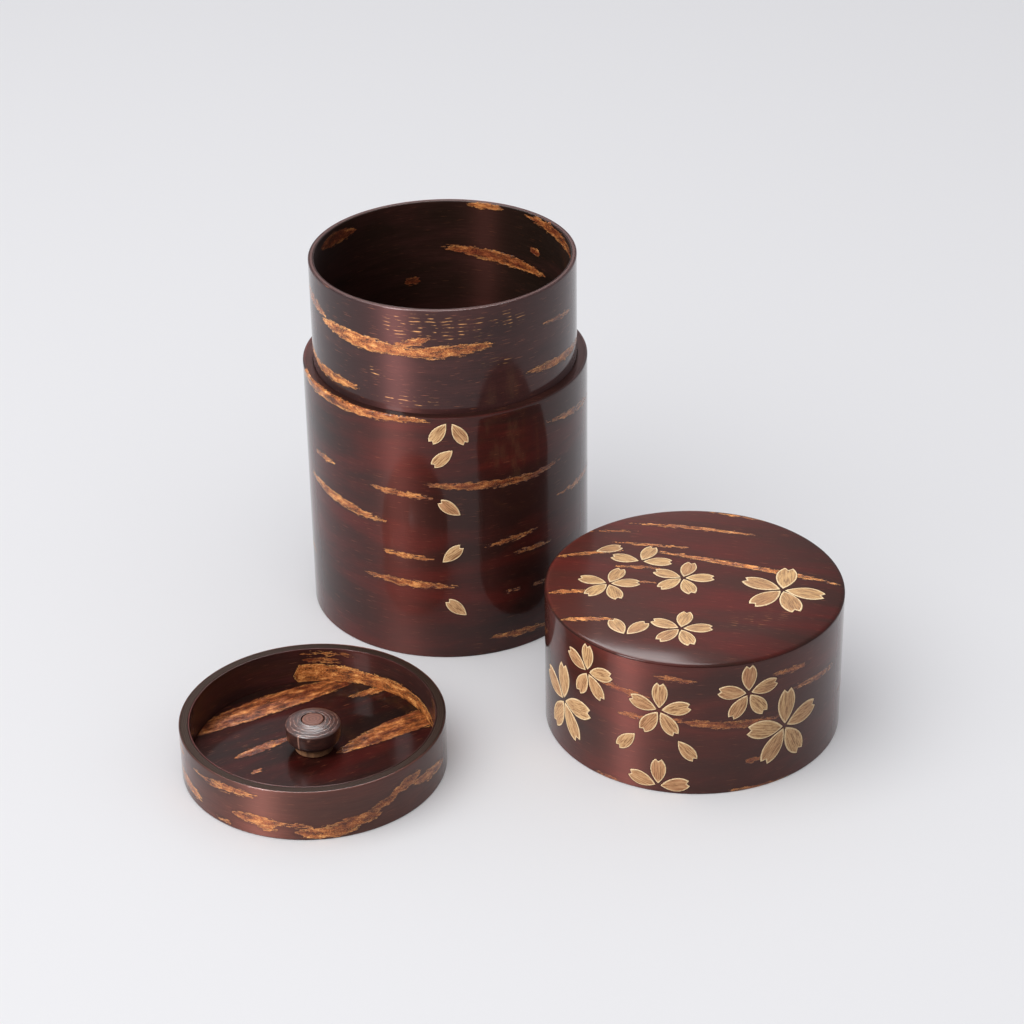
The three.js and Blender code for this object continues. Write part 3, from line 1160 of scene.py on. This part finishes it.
def figure_inlay(figure: Figure, ground: Ground, seed: int) -> bpy.types.Mesh:
    """The petals of one figure, laid in their windows.

    The map holds each petal's own place and grain, shifted so that no two are cut alike. Attribute
    rim grows from the petal's middle to its edge, and tone is drawn for each petal.

    Args:
        figure: The figure.
        ground: What it is laid on.
        seed: Seed of its draws.

    Returns:
        The closed petals in one mesh.
    """
    draw = np.random.default_rng(seed)
    flat, own, faces = figure.solids(PETAL_LEVELS, 0.0)
    mesh = make_mesh("inlay_" + figure.node, ground.place(figure, flat), faces)
    count = len(figure.directions)
    each = len(flat) // count
    shifts = np.repeat(draw.uniform(-400, 400, (count, 2)), each, axis=0)
    skew = np.repeat(np.radians(draw.uniform(-9, 9, count)), each)
    tones = np.repeat(draw.uniform(0.0, 0.85, count), each)
    write_attribute(mesh, "rim", own[:, 2])
    write_attribute(mesh, "tone", tones)
    x = own[:, 0] * np.cos(skew) + own[:, 1] * np.sin(skew)
    y = own[:, 1] * np.cos(skew) - own[:, 0] * np.sin(skew)
    places = np.stack([x, y], axis=-1) + shifts
    write_map(mesh, places[corner_vertices(mesh)])
    return mesh


# ---- Finishes ----


@dataclass(frozen=True)
class Finishes:
    """The materials that more than one piece wears."""

    petal: bpy.types.Material
    top_petal: bpy.types.Material
    lining: bpy.types.Material
    hidden_bark: bpy.types.Material

    @classmethod
    def make(cls) -> "Finishes":
        """Makes the shared materials.

        Returns:
            The finishes.
        """
        dull = CherryBark(
            "lining_bark", deep=(0.005, 0.003, 0.002), red=(0.014, 0.005, 0.004), sheen=0.15,
            polish=0.6, polish_roughness=0.2, gold=0.3, hairlines=0.15,
        )
        under = CherryBark(
            "under_bark", deep=(0.030, 0.013, 0.010), red=(0.060, 0.020, 0.014), sheen=0.3,
            polish=0.4, polish_roughness=0.3, gold=0.4,
        )
        top_petal = PetalBark(
            "top_petal_bark", pale=(0.330, 0.198, 0.078), tan=(0.225, 0.104, 0.037),
            grain=(0.105, 0.042, 0.015), edge=(0.460, 0.345, 0.200),
        )
        petal = PetalBark("petal_bark")
        return cls(petal.material(), top_petal.material(), dull.material(), under.material())


# ---- Sub-assemblies ----


@dataclass
class Assembly:
    """A sub-assembly, whose pieces all ride on one body."""

    finishes: Finishes
    body: str

    def turn(self, name: str, node: str, slot: Slot, material: bpy.types.Material,
             fillets: Fillets = Fillets(), sheet: Optional[Sheet] = None) -> None:
        """Makes a tube or a disc in place of one node, with marks if it is a sheet of bark.

        Args:
            name: Name of the piece.
            node: Node that gives its sizes.
            slot: Not used.
            material: Its material.
            fillets: Rounding of its corners.
            sheet: Its marks, or None for plain wood.
        """
        ring = Ring.of(node)
        mesh = turned_piece(name, ring, fillets, fine=sheet is not None)
        if sheet is not None:
            sheet.mark(mesh, ring)
        add_piece(mesh, self.body, [node], material)

    def inlay(self, blank: bpy.types.Mesh, ring: Ring, node: str, sheet: Sheet, bark: CherryBark,
              ground: Ground, figures: Sequence[Figure], petal: bpy.types.Material, seed: int) -> None:
        """Cuts the windows of the figures out of a sheet and lays the petals in them.

        Args:
            blank: The closed sheet, named as its piece.
            ring: Sizes of its node.
            node: Name of its node.
            sheet: Its marks.
            bark: Its bark.
            ground: What the figures are laid on.
            figures: The figures.
            petal: Material of the petals.
            seed: Seed of the first figure. The others count on from it.
        """
        cut = cut_out(blank, figure_cutters(figures, ground))
        sheet.mark(cut, ring)
        add_piece(cut, self.body, [node], bark.material())
        for number, figure in enumerate(figures):
            petals = figure_inlay(figure, ground, seed + number)
            add_piece(petals, self.body, [figure.node], petal)


# ---- The can ----


@dataclass
class Can(Assembly):
    """The can: bark skin, shoulder, the neck's layers, the base and the floor."""

    body: str = "can"
    seed: int = 100
    rim_round: float = 0.28
    skin: Ring = field(default_factory=lambda: Ring.of("can_bark_skin"))
    neck: Ring = field(default_factory=lambda: Ring.of("neck_bark_skin"))

    figures = tuple(
        Figure(f"can_petal_{i + 1}", at, FALLEN_PETAL, (direction,))
        for i, (at, direction) in enumerate([
            ((1, 0.98), -126), ((3.3, 0.978), -60), ((3.3, 0.871), -140),
            ((5.7, 0.605), 142), ((-1.9, 0.41), 42), ((7.1, 0.181), 137),
        ])
    )
    wall_sheet = Sheet(Lay.WALL, streaks=drawn_streaks(
        (-9, 56, 40, 54.6, 1.25, 0.3, -0.5), (20, 53.6, 53, 55.2, 0.9, 0.3, -0.3),
        (-32, 53, -4, 51.6, 0.95, 0.55), (-73, 46, -24, 42.4, 1.5, 0.75), (-66, 54.8, -50, 55.2, 0.9, 0.55),
        (-28, 33.4, -5, 32, 0.85, 0.5), (-37, 24.6, 5, 23.2, 1.15, 0.6), (14, 35.2, 40, 36.8, 0.8, 0.3),
        (27, 31.3, 47, 30.8, 0.8, 0.4), (22, 19.4, 31, 19.3, 0.5, 0.3), (35, 18.9, 45, 18.6, 0.6, 0.3),
        (16, 5.4, 45, 4.2, 1.1, 0.45), (43, 68.8, 86, 64.6, 1.0, 0.5), (50, 44, 98, 41.5, 1.0, 0.5),
        (-82, 75.4, -4, 75.6, 1.7, 0.7), (-98, 20, -72, 18.5, 0.9, 0.5),
    ) + wild_streaks(11, 15, (95, 250), (6, 72)))
    neck_sheet = Sheet(Lay.WALL, streaks=drawn_streaks(
        (-63, 96.0, -10, 94.2, 2.2, 0.95), (-22, 93.8, 23, 95.8, 1.9, 0.6), (-20, 96, -4, 98.8, 1.2, 0.45),
        (-84, 100, -58, 97.5, 1.6, 0.3), (-74, 80.2, -37, 80.4, 1.5, 0.65), (36, 84.4, 90, 81.6, 1.4, 0.7),
        (46, 97, 74, 94.8, 0.8, 0.3),
    ) + wild_streaks(23, 7, (100, 262), (82, 103), 1.5), patches=(
        Patch((-19, 102), (3.2, 3.4), 0.9), Patch((-8, 102.6), (4.0, 3.4)), Patch((4, 101.5), (4.4, 3.2)),
        Patch((15, 100.6), (3.6, 3.0)), Patch((29, 102), (5.5, 2.8), 0.8),
        Patch((-14, 79.6), (9.0, 1.6), 0.9), Patch((-29, 87), (3.0, 1.8), 0.7),
        Patch((24, 90), (6.0, 1.8), 0.5), Patch((160, 95), (14.0, 4.0), 0.8),
    ))
    ledge_sheet = Sheet(Lay.FACE, streaks=drawn_streaks(
        (-40, -8, -12, -39.5, 0.9, 0.6, -4.6), (8, -40, 37, -17, 0.35, 0.5, -3.6),
    ))
    lining_sheet = Sheet(Lay.LINING, middle=180, streaks=drawn_streaks(
        (182, 92.6, 126, 89.2, 1.9, 0.45, 0.4), (170, 106, 151, 106, 1.1, 0.7),
        (140, 106, 92, 103.4, 1.6, 0.45), (137, 95.8, 130, 95.4, 1.2, 0.5),
        (-136, 103, -106, 104, 2.0, 0.25), (-168, 82.6, -160, 82.2, 1.4, 0.2), (150, 66, 110, 63, 1.6, 0.3),
    ) + wild_streaks(31, 6, (-70, 60), (40, 100)))

    def make_skin(self) -> None:
        """Makes the polished skin, the petals in its windows, and the ledge of the shoulder."""
        ground = Ground(Lay.WALL, self.skin.axis, self.skin.radius, self.skin.high)
        fillets = Fillets(rim_low=0.25, rim_high=0.3, bore_high=0.03, bore_low=0.03)
        blank = turned_piece("can_bark", self.skin, fillets, fine=True)
        bark = CherryBark(
            "can_polished_bark", red=(0.030, 0.003, 0.002), sheen=0.55, dull_below=62.0, dull_depth=45.0)
        self.inlay(
            blank, self.skin, "can_bark_skin", self.wall_sheet, bark, ground, self.figures,
            self.finishes.petal, self.seed)
        dark = CherryBark("shoulder_bark", red=(0.012, 0.004, 0.003), sheen=0.3, polish=0.7)
        self.turn(
            "shoulder_ledge", "shoulder_ring", Slot.POLISHED, dark.material(),
            Fillets(rim_low=0.03, rim_high=0.08, bore_high=0.06, bore_low=0.03), self.ledge_sheet)

    def make_neck(self) -> None:
        """Makes the neck: its bark, the wood in it and its lining, rounded together at the rim."""
        bark = CherryBark(
            "neck_polished_bark", deep=(0.006, 0.003, 0.003), red=(0.022, 0.007, 0.006), sheen=0.66,
            tint=(1.0, 0.37, 0.34), hairlines=0.6, gold=0.62,
        )
        self.turn(
            "neck_bark", "neck_bark_skin", Slot.NECK, bark.material(),
            Fillets(rim_high=self.rim_round), self.neck_sheet)
        self.turn(
            "neck_lining", "neck_bark_lining", Slot.INNER, self.finishes.lining,
            Fillets(bore_high=self.rim_round), self.lining_sheet)
        stained = SawnWood("neck_wood", stained_above=self.neck.high - 1.0, stain=(0.034, 0.011, 0.009))
        self.turn("neck_wood", "neck_core_tube", Slot.CORE, stained.material())

    def make_base(self) -> None:
        """Makes the wooden tube and the boards of the base and the floor."""
        wood = SawnWood("can_wood", stained_below=1.2).material()
        for name, node in (("can_wood", "can_core_tube"), ("base_wood", "base_board")):
            self.turn(name, node, Slot.CORE, wood)
        marks = drawn_streaks((-30, 8, 22, 16, 2.4, 0.3), (-12, -20, 31, -9, 1.6, 0.3))
        sheet, round_edge = Sheet(Lay.FACE, 12, marks), Fillets(rim_low=0.1, rim_high=0.1)
        for name, node, finish in (
            ("base_bark", "base_bark_disc", self.finishes.hidden_bark),
            ("floor_bark", "floor_bark_disc", self.finishes.lining),
        ):
            self.turn(name, node, Slot.INNER, finish, round_edge, sheet)

    def build(self) -> None:
        """Builds the whole can."""
        self.make_skin()
        self.make_neck()
        self.make_base()


# ---- The cap ----


@dataclass
class Cap(Assembly):
    """The outer cap, standing on its rim: side bark, crowned top, wood and linings."""

    body: str = "cap"
    side_seed: int = 200
    top_seed: int = 300
    glue_gap: float = 0.08
    side: Ring = field(default_factory=lambda: Ring.of("cap_bark_skin"))
    top: Ring = field(default_factory=lambda: Ring.of("cap_top_bark"))
    core: Ring = field(default_factory=lambda: Ring.of("cap_core_tube"))

    side_figures = (
        Figure("cap_side_blossom_1", (-47.3, 0.75), SMALL_PETAL, (90, 13, -52, -114, 156)),
        Figure("cap_side_blossom_2", (-62, 0.4), LARGE_PETAL, (91, 7, -56, -117, 158)),
        Figure("cap_side_blossom_3", (-16.4, 0.63), SMALL_PETAL, (89, 13, -58, -123, 163)),
        Figure("cap_side_blossom_4", (17.1, 0.748), SMALL_PETAL, (90, 11, -56, -124, 169)),
        Figure("cap_side_blossom_5", (33.1, 0.415), LARGE_PETAL, (87, 13, -61, -123, 171)),
        Figure("cap_rim_spray", (-16.4, 0.047), SMALL_PETAL, (90, 10, 163)),
        Figure("cap_side_petal_1", (-25.7, 0.415), FALLEN_PETAL, (-133,)),
        Figure("cap_side_petal_2", (-9.1, 0.41), FALLEN_PETAL, (-52,)),
    )
    top_figures = (
        Figure("cap_top_blossom_1", (-0.572, 0.01), SMALL_PETAL, (0, 63, 157, -137, -74)),
        Figure("cap_top_blossom_2", (-0.072, 0.065), SMALL_PETAL, (-2, 70, 153, -143, -77)),
        Figure("cap_top_blossom_3", (0.578, -0.11), LARGE_PETAL, (-17, 76, 150, -140, -77)),
        Figure("cap_top_blossom_4", (-0.125, -0.567), SMALL_PETAL, (0, 75, 150, -138, -75)),
        Figure("cap_top_spray_1", (-0.342, 0.29), SMALL_PETAL, (-5, 63, 159)),
        Figure("cap_top_spray_2", (-0.49, -0.635), SMALL_PETAL, (45, 112)),
        Figure("cap_top_petal", (-0.638, 0.435), FALLEN_PETAL, (16,)),
    )
    side_sheet = Sheet(Lay.WALL, streaks=drawn_streaks(
        (-42, 29.8, -20, 28.8, 0.9, 0.4), (-19, 35.9, -2, 35, 0.8, 0.2),
        (-13, 23.4, 31, 20.6, 1.25, 0.4, -0.6), (-33, 22, -20, 22.8, 0.7, 0.4),
        (26, 34.4, 45, 33, 0.85, 0.4), (34, 28, 64, 25.8, 0.9, 0.35), (15, 8.9, 24, 9.4, 0.8, 0.3),
        (8, 0.4, 36, 0.2, 0.7, 0.4), (-44, 0.6, -30, 0.4, 0.6, 0.4), (70, 14, 96, 12.4, 1.0, 0.4),
    ) + wild_streaks(47, 12, (95, 250), (4, 37)))
    top_sheet = Sheet(Lay.FACE, grain=-14, streaks=drawn_streaks(
        (-39, 15.4, -18, 17.4, 0.85, 0.75), (-11, 17.3, 39.6, -2.2, 1.15, 0.7, 0.5),
        (-22, 22.2, 0, 18.2, 0.7, 0.55), (-17, 32.6, 20, 24, 0.85, 0.6, 0.7),
        (-29, 29, -13, 27.7, 0.55, 0.5), (6, 38.6, 22, 33.2, 0.6, 0.6), (-40, -3.1, -27.5, -3.3, 1.0, 0.75),
        (-37, -16.6, -21, -17.6, 0.9, 0.8), (-21, 9.5, -8, 7.6, 0.7, 0.45), (-16, 1.0, -9, 0.2, 0.5, 0.3),
    ), patches=(Patch((12, -21), (9.0, 6.0), 0.30), Patch((24, -16), (8.0, 5.0), 0.25)))

    def make_side(self) -> None:
        """Makes the bark of the side and the petals in it."""
        ground = Ground(Lay.WALL, self.top.axis, self.side.radius, self.top.high)
        fillets = Fillets(rim_low=0.3, rim_high=0.02, bore_high=0.02, bore_low=0.03)
        blank = turned_piece("cap_bark", self.side, fillets, fine=True)
        bark = CherryBark(
            "cap_polished_bark", deep=(0.006, 0.003, 0.002), red=(0.032, 0.005, 0.003), sheen=0.85)
        self.inlay(
            blank, self.side, "cap_bark_skin", self.side_sheet, bark, ground, self.side_figures,
            self.finishes.petal, self.side_seed)

    def make_top(self) -> None:
        """Makes the crowned bark of the top and the petals in it."""
        crown = Crown(self.top.radius, self.top.high)
        ground = Ground(Lay.FACE, self.top.axis, self.top.radius, self.top.high, crown)
        under = Ring.of("cap_top_board").high + self.glue_gap
        profile = crown.profile(under, self.top.low, self.core.radius + self.glue_gap, SHEET_STEP)
        blank = turned_mesh("cap_top", profile, self.top.axis, SHEET_SIDES, closed=False)
        bark = CherryBark(
            "cap_top_polished_bark", deep=(0.008, 0.003, 0.002), red=(0.027, 0.002, 0.0015), sheen=0.30,
            tint=(1.0, 0.26, 0.20), polish=0.5, polish_roughness=0.12)
        self.inlay(
            blank, self.top, "cap_top_bark", self.top_sheet, bark, ground, self.top_figures,
            self.finishes.top_petal, self.top_seed)

    def make_inside(self) -> None:
        """Makes the wood and the linings."""
        wood = SawnWood("cap_wood", stained_below=1.2, centre=self.top.axis).material()
        for name, node in (("cap_wood", "cap_core_tube"), ("cap_top_wood", "cap_top_board")):
            self.turn(name, node, Slot.CORE, wood)
        lining = Sheet(Lay.LINING, streaks=wild_streaks(53, 12, (-180, 160), (4, 33), 1.3))
        self.turn(
            "cap_lining", "cap_bark_lining", Slot.INNER, self.finishes.lining,
            Fillets(bore_low=0.2), lining)
        marks = drawn_streaks((-30, -12, 25, 2, 2.0, 0.3), (-10, 14, 28, 24, 1.5, 0.3))
        self.turn(
            "cap_ceiling", "cap_ceiling_bark", Slot.INNER, self.finishes.lining,
            sheet=Sheet(Lay.FACE, 15, marks))

    def build(self) -> None:
        """Builds the whole cap."""
        self.make_side()
        self.make_top()
        self.make_inside()


# ---- The inner lid ----


@dataclass
class InnerLid(Assembly):
    """The inner lid: a shallow tray with a thick rim, a bark band and the wound knob."""

    body: str = "inner_lid"
    band: Ring = field(default_factory=lambda: Ring.of("lid_bark_band"))
    skirt: float = 0.9  # how far the knob's side comes down over its foot
    crown_low: float = 4.3  # where its crown starts, above its node's lower end
    chamfer: float = 0.7  # reach of the edge between its side and its crown
    knob: Ring = field(default_factory=lambda: Ring.of("knob"))

    knob_side = ((6.3, 0.0, 0.5), (7.2, 1.2, 0.5))  # radius, height above the skirt's end and fillet
    band_sheet = Sheet(Lay.WALL, streaks=drawn_streaks(
        (-34, 5.2, -9, 4.6, 1.6, 0.75), (-22, 3.0, -12, 2.8, 0.9, 1.0), (-12, 5.0, 4, 4.0, 0.7, 0.6),
        (-6, 2.2, 22, 2.2, 1.9, 0.7), (10, 3.8, 33, 4.6, 1.9, 0.5), (26, 6.0, 42, 8.2, 1.3, 0.35),
        (36, 8.6, 56, 11.0, 1.6, 0.6), (48, 8.6, 78, 5.6, 1.7, 0.65), (-78, 5.0, -52, 3.4, 1.7, 0.7),
        (-60, 11.5, -30, 10.8, 0.6, 0.3), (-46, 12.4, -20, 12.2, 1.1, 0.65), (-44, 1.4, -34, 1.2, 0.6, 0.6),
    ) + wild_streaks(61, 12, (85, 270), (2.5, 12), 1.5))
    wall_sheet = Sheet(Lay.LINING, middle=120, streaks=drawn_streaks(
        (190, 6.6, 148, 6.6, 3.6, 0.85, 0.0, 0.5), (172, 7.0, 100, 5.6, 3.0, 0.75, 0.6),
        (189, 11.5, 168, 11.0, 0.9, 0.1), (190, 13.6, 160, 13.2, 0.5, 0.4), (60, 8, 20, 7, 1.4, 0.4),
        (-20, 9, -60, 10, 1.2, 0.3),
    ))
    tray_sheet = Sheet(Lay.FACE, grain=29, streaks=drawn_streaks(
        (-37, 4.6, 13, 35.0, 4.3, 0.25, 1.6), (36, 17.6, 6.0, -2.8, 4.2, 0.35, -0.8, 0.35),
        (-21, -4.6, -6.5, 5.2, 1.7, 0.05), (-34, 9, -20, 19.5, 0.8, 0.2), (8, 24, 22, 30, 1.4, 0.4),
        (-16, -12, -13, -9, 0.9, 0.2),
    ))

    def make_tray(self) -> None:
        """Makes the outer band, the rim, the wall's lining and the tray's floor."""
        bark = CherryBark(
            "lid_polished_bark", deep=(0.016, 0.007, 0.005), red=(0.045, 0.012, 0.008), sheen=0.95,
            tint=(1.0, 0.36, 0.28), gold=0.55,
        )
        self.turn(
            "lid_band", "lid_bark_band", Slot.POLISHED, bark.material(),
            Fillets(rim_low=0.35, rim_high=0.3, bore_high=0.03, bore_low=0.03), self.band_sheet)
        wood = SawnWood(
            "rim_wood", light=(0.024, 0.012, 0.008), dark=(0.010, 0.005, 0.003), ring_pitch=0.5,
            centre=self.band.axis, roughness=0.55, gloss=0.10,
        )
        self.turn(
            "lid_rim", "lid_ring_core", Slot.RIM, wood.material(),
            Fillets(rim_high=0.12, bore_high=0.12))
        inner = CherryBark(
            "lid_lining_bark", deep=(0.013, 0.005, 0.004), red=(0.030, 0.006, 0.005), sheen=0.22,
            polish=0.8, polish_roughness=0.15, gold=0.6,
        )
        self.turn(
            "lid_lining", "lid_wall_lining", Slot.INNER, inner.material(),
            Fillets(bore_high=0.1), self.wall_sheet)
        floor = CherryBark(
            "tray_polished_bark", deep=(0.004, 0.002, 0.0015), red=(0.019, 0.002, 0.0015), sheen=0.12,
            polish=0.75)
        self.turn(
            "lid_tray", "lid_tray_bark", Slot.POLISHED, floor.material(),
            Fillets(rim_low=0.02, rim_high=0.15), self.tray_sheet)

    def make_underside(self) -> None:
        """Makes the board and the bark under it."""
        wood = SawnWood("lid_wood", centre=self.band.axis).material()
        self.turn("lid_wood", "lid_board", Slot.CORE, wood)
        marks = drawn_streaks((-28, -6, 20, 4, 1.8, 0.4), (-8, 14, 26, 20, 1.3, 0.4))
        self.turn(
            "lid_base_bark", "lid_under_bark", Slot.INNER, self.finishes.hidden_bark,
            Fillets(rim_low=0.1, rim_high=0.02), Sheet(Lay.FACE, 10, marks))

    def make_knob(self) -> None:
        """Makes the wound knob, its fibrous foot and the peg through both.

        The crown's height falls with the cube of the reach, from the peg to the side.
        """
        ring, bore = replace(self.knob, low=self.knob.low - self.skirt), self.knob.bore
        edge = self.knob.low + self.crown_low
        reach = np.linspace(ring.radius - self.chamfer, bore, 16)
        top = edge + (ring.high - edge) * (1 - (reach / ring.radius) ** 3) / (1 - (bore / ring.radius) ** 3)
        corners = [
            (bore, ring.low, 0), *((r, ring.low + up, fillet) for r, up, fillet in self.knob_side),
            (ring.radius, ring.low + 2.8, 0.8), (ring.radius, edge + 0.05, 0.4), (reach[0], top[0], 0),
        ]
        side = softened(corners, 0.4, closed=False)
        profile = np.concatenate([side[:-1], np.stack([reach, top], axis=-1)])
        knob = turned_mesh("lid_knob", profile, ring.axis, PLAIN_SIDES, closed=True)
        add_piece(knob, self.body, ["knob"], WoundBark("wound_bark", ring.axis).material())
        collar = Ring.of("knob_foot")
        collar = replace(collar, high=collar.high - self.skirt)
        foot = turned_piece("knob_collar", collar, Fillets(rim_low=0.3, rim_high=0.3))
        fibre = SawnWood(
            "foot_fibre", light=(0.20, 0.095, 0.045), dark=(0.050, 0.020, 0.010), ring_pitch=0.35,
            centre=ring.axis, roughness=0.8,
        )
        add_piece(foot, self.body, ["knob_foot"], fibre.material())
        pink = SawnWood(
            "peg_wood", light=(0.108, 0.042, 0.027), dark=(0.062, 0.021, 0.014), ring_pitch=0.9,
            centre=ring.axis, roughness=0.5,
        )
        self.turn(
            "knob_pin", "knob_peg", Slot.PEG, pink.material(), Fillets(rim_low=0.05, rim_high=0.35))

    def build(self) -> None:
        """Builds the whole inner lid."""
        self.make_tray()
        self.make_underside()
        self.make_knob()


# ---- The set ----


@dataclass(frozen=True)
class SoftLight:
    """A square or oblong soft light, aimed at a point."""

    name: str
    place: Colour
    aim: Colour
    size: Pair
    radiance: float

    def add(self) -> bpy.types.Object:
        """Adds the lamp. Its power is its radiance times pi times its area.

        Returns:
            The lamp's object.
        """
        lamp = bpy.data.lights.new(self.name, "AREA")
        lamp.shape = "RECTANGLE"
        lamp.size, lamp.size_y = (s * MM for s in self.size)
        lamp.energy = self.radiance * np.pi * lamp.size * lamp.size_y
        made = put_in_scene(self.name, lamp)
        away = np.subtract(self.place, self.aim)
        back = away / np.linalg.norm(away)
        right = np.cross([0.0, 0.0, 1.0], back)
        right /= np.linalg.norm(right)
        stand(made, self.place, (right, np.cross(back, right), back))
        return made


@dataclass
class Studio:
    """A pale seamless floor, soft lights and the camera."""

    floor_reach: float = 3000.0
    floor_height: float = -0.02
    sky_behind: Colour = (0.56, 0.56, 0.59)
    sky_before: Colour = (0.74, 0.74, 0.74)
    sky_fade: Pair = (-0.45, 0.35)  # where the sky starts and ends to change, from front to back
    key: SoftLight = SoftLight("key", (-262, -290, 370), (0, -30, 50), (115, 300), 33.0)
    overhead: SoftLight = SoftLight("overhead", (-430, -340, 1020), (-60, -60, 0), (1300, 1300), 1.37)
    strip: SoftLight = SoftLight("strip", (-41, 427, 763), (43, -101, 40), (340, 440), 14.5)
    camera_place: Colour = (18.086, -710.772, 431.615)
    camera_fall: float = 29.829
    camera_roll: float = -0.01598  # radians
    focal_length: float = 99.158
    sensor_width: float = 36.0

    def make_floor(self) -> None:
        """Makes the floor, just under the object."""
        reach = self.floor_reach
        corners = [(-reach, -reach), (reach, -reach), (reach, reach), (-reach, reach)]
        points = np.array([(x, y, self.floor_height) for x, y in corners])
        mesh = make_mesh("floor", points, [np.array([[0, 1, 2, 3]])])
        mesh.materials.append(PlainFloor().material())
        put_in_scene("floor", mesh)

    def make_light(self) -> None:
        """Sets the lamps and a sky that darkens towards the back. Flags keep two of them off the floor."""
        world = bpy.data.worlds.new("soft_sky")
        pen = Sketch(world)
        back = pen.part(pen.node("TexCoord", {}, "Generated"), "Y")
        first, last = self.sky_fade
        fade = pen.node("MapRange", {"Value": back, "From Min": first, "From Max": last})
        sky = pen.mix(fade, self.sky_before, self.sky_behind)
        pen.tree.links.new(sky.socket, pen.tree.nodes["Background"].inputs["Color"])
        bpy.context.scene.world = world
        self.overhead.add()
        flagged = bpy.data.collections.new("flagged_off")
        flagged.objects.link(bpy.data.objects["floor"])
        flagged.collection_objects[0].light_linking.link_state = "EXCLUDE"
        for light in (self.key, self.strip):
            light.add().light_linking.receiver_collection = flagged

    def make_camera(self) -> None:
        """Sets the camera: in front and above, looking down, with a trace of roll."""
        lens = bpy.data.cameras.new("camera")
        lens.lens, lens.sensor_width, lens.clip_end = self.focal_length, self.sensor_width, 50.0
        fall, roll = np.radians(self.camera_fall), self.camera_roll
        back = np.array([0.0, -np.cos(fall), np.sin(fall)])
        level, rise = np.array([1.0, 0.0, 0.0]), np.array([0.0, np.sin(fall), np.cos(fall)])
        right = np.cos(roll) * level + np.sin(roll) * rise
        up = np.cos(roll) * rise - np.sin(roll) * level
        camera = put_in_scene("camera", lens)
        stand(camera, self.camera_place, (right, up, back))
        bpy.context.scene.camera = camera

    def build(self) -> None:
        """Builds the set."""
        self.make_floor()
        self.make_light()
        self.make_camera()
        bpy.context.scene.view_settings.view_transform = "Standard"


def main() -> None:
    """Builds the set and the caddy."""
    logging.basicConfig(level=logging.INFO, format="%(name)s: %(message)s")
    Studio().build()
    finishes = Finishes.make()
    for assembly in (Can(finishes), Cap(finishes), InnerLid(finishes)):
        assembly.build()
        LOG.info("%s is built", type(assembly).__name__)


if __name__ == "__main__":
    main()
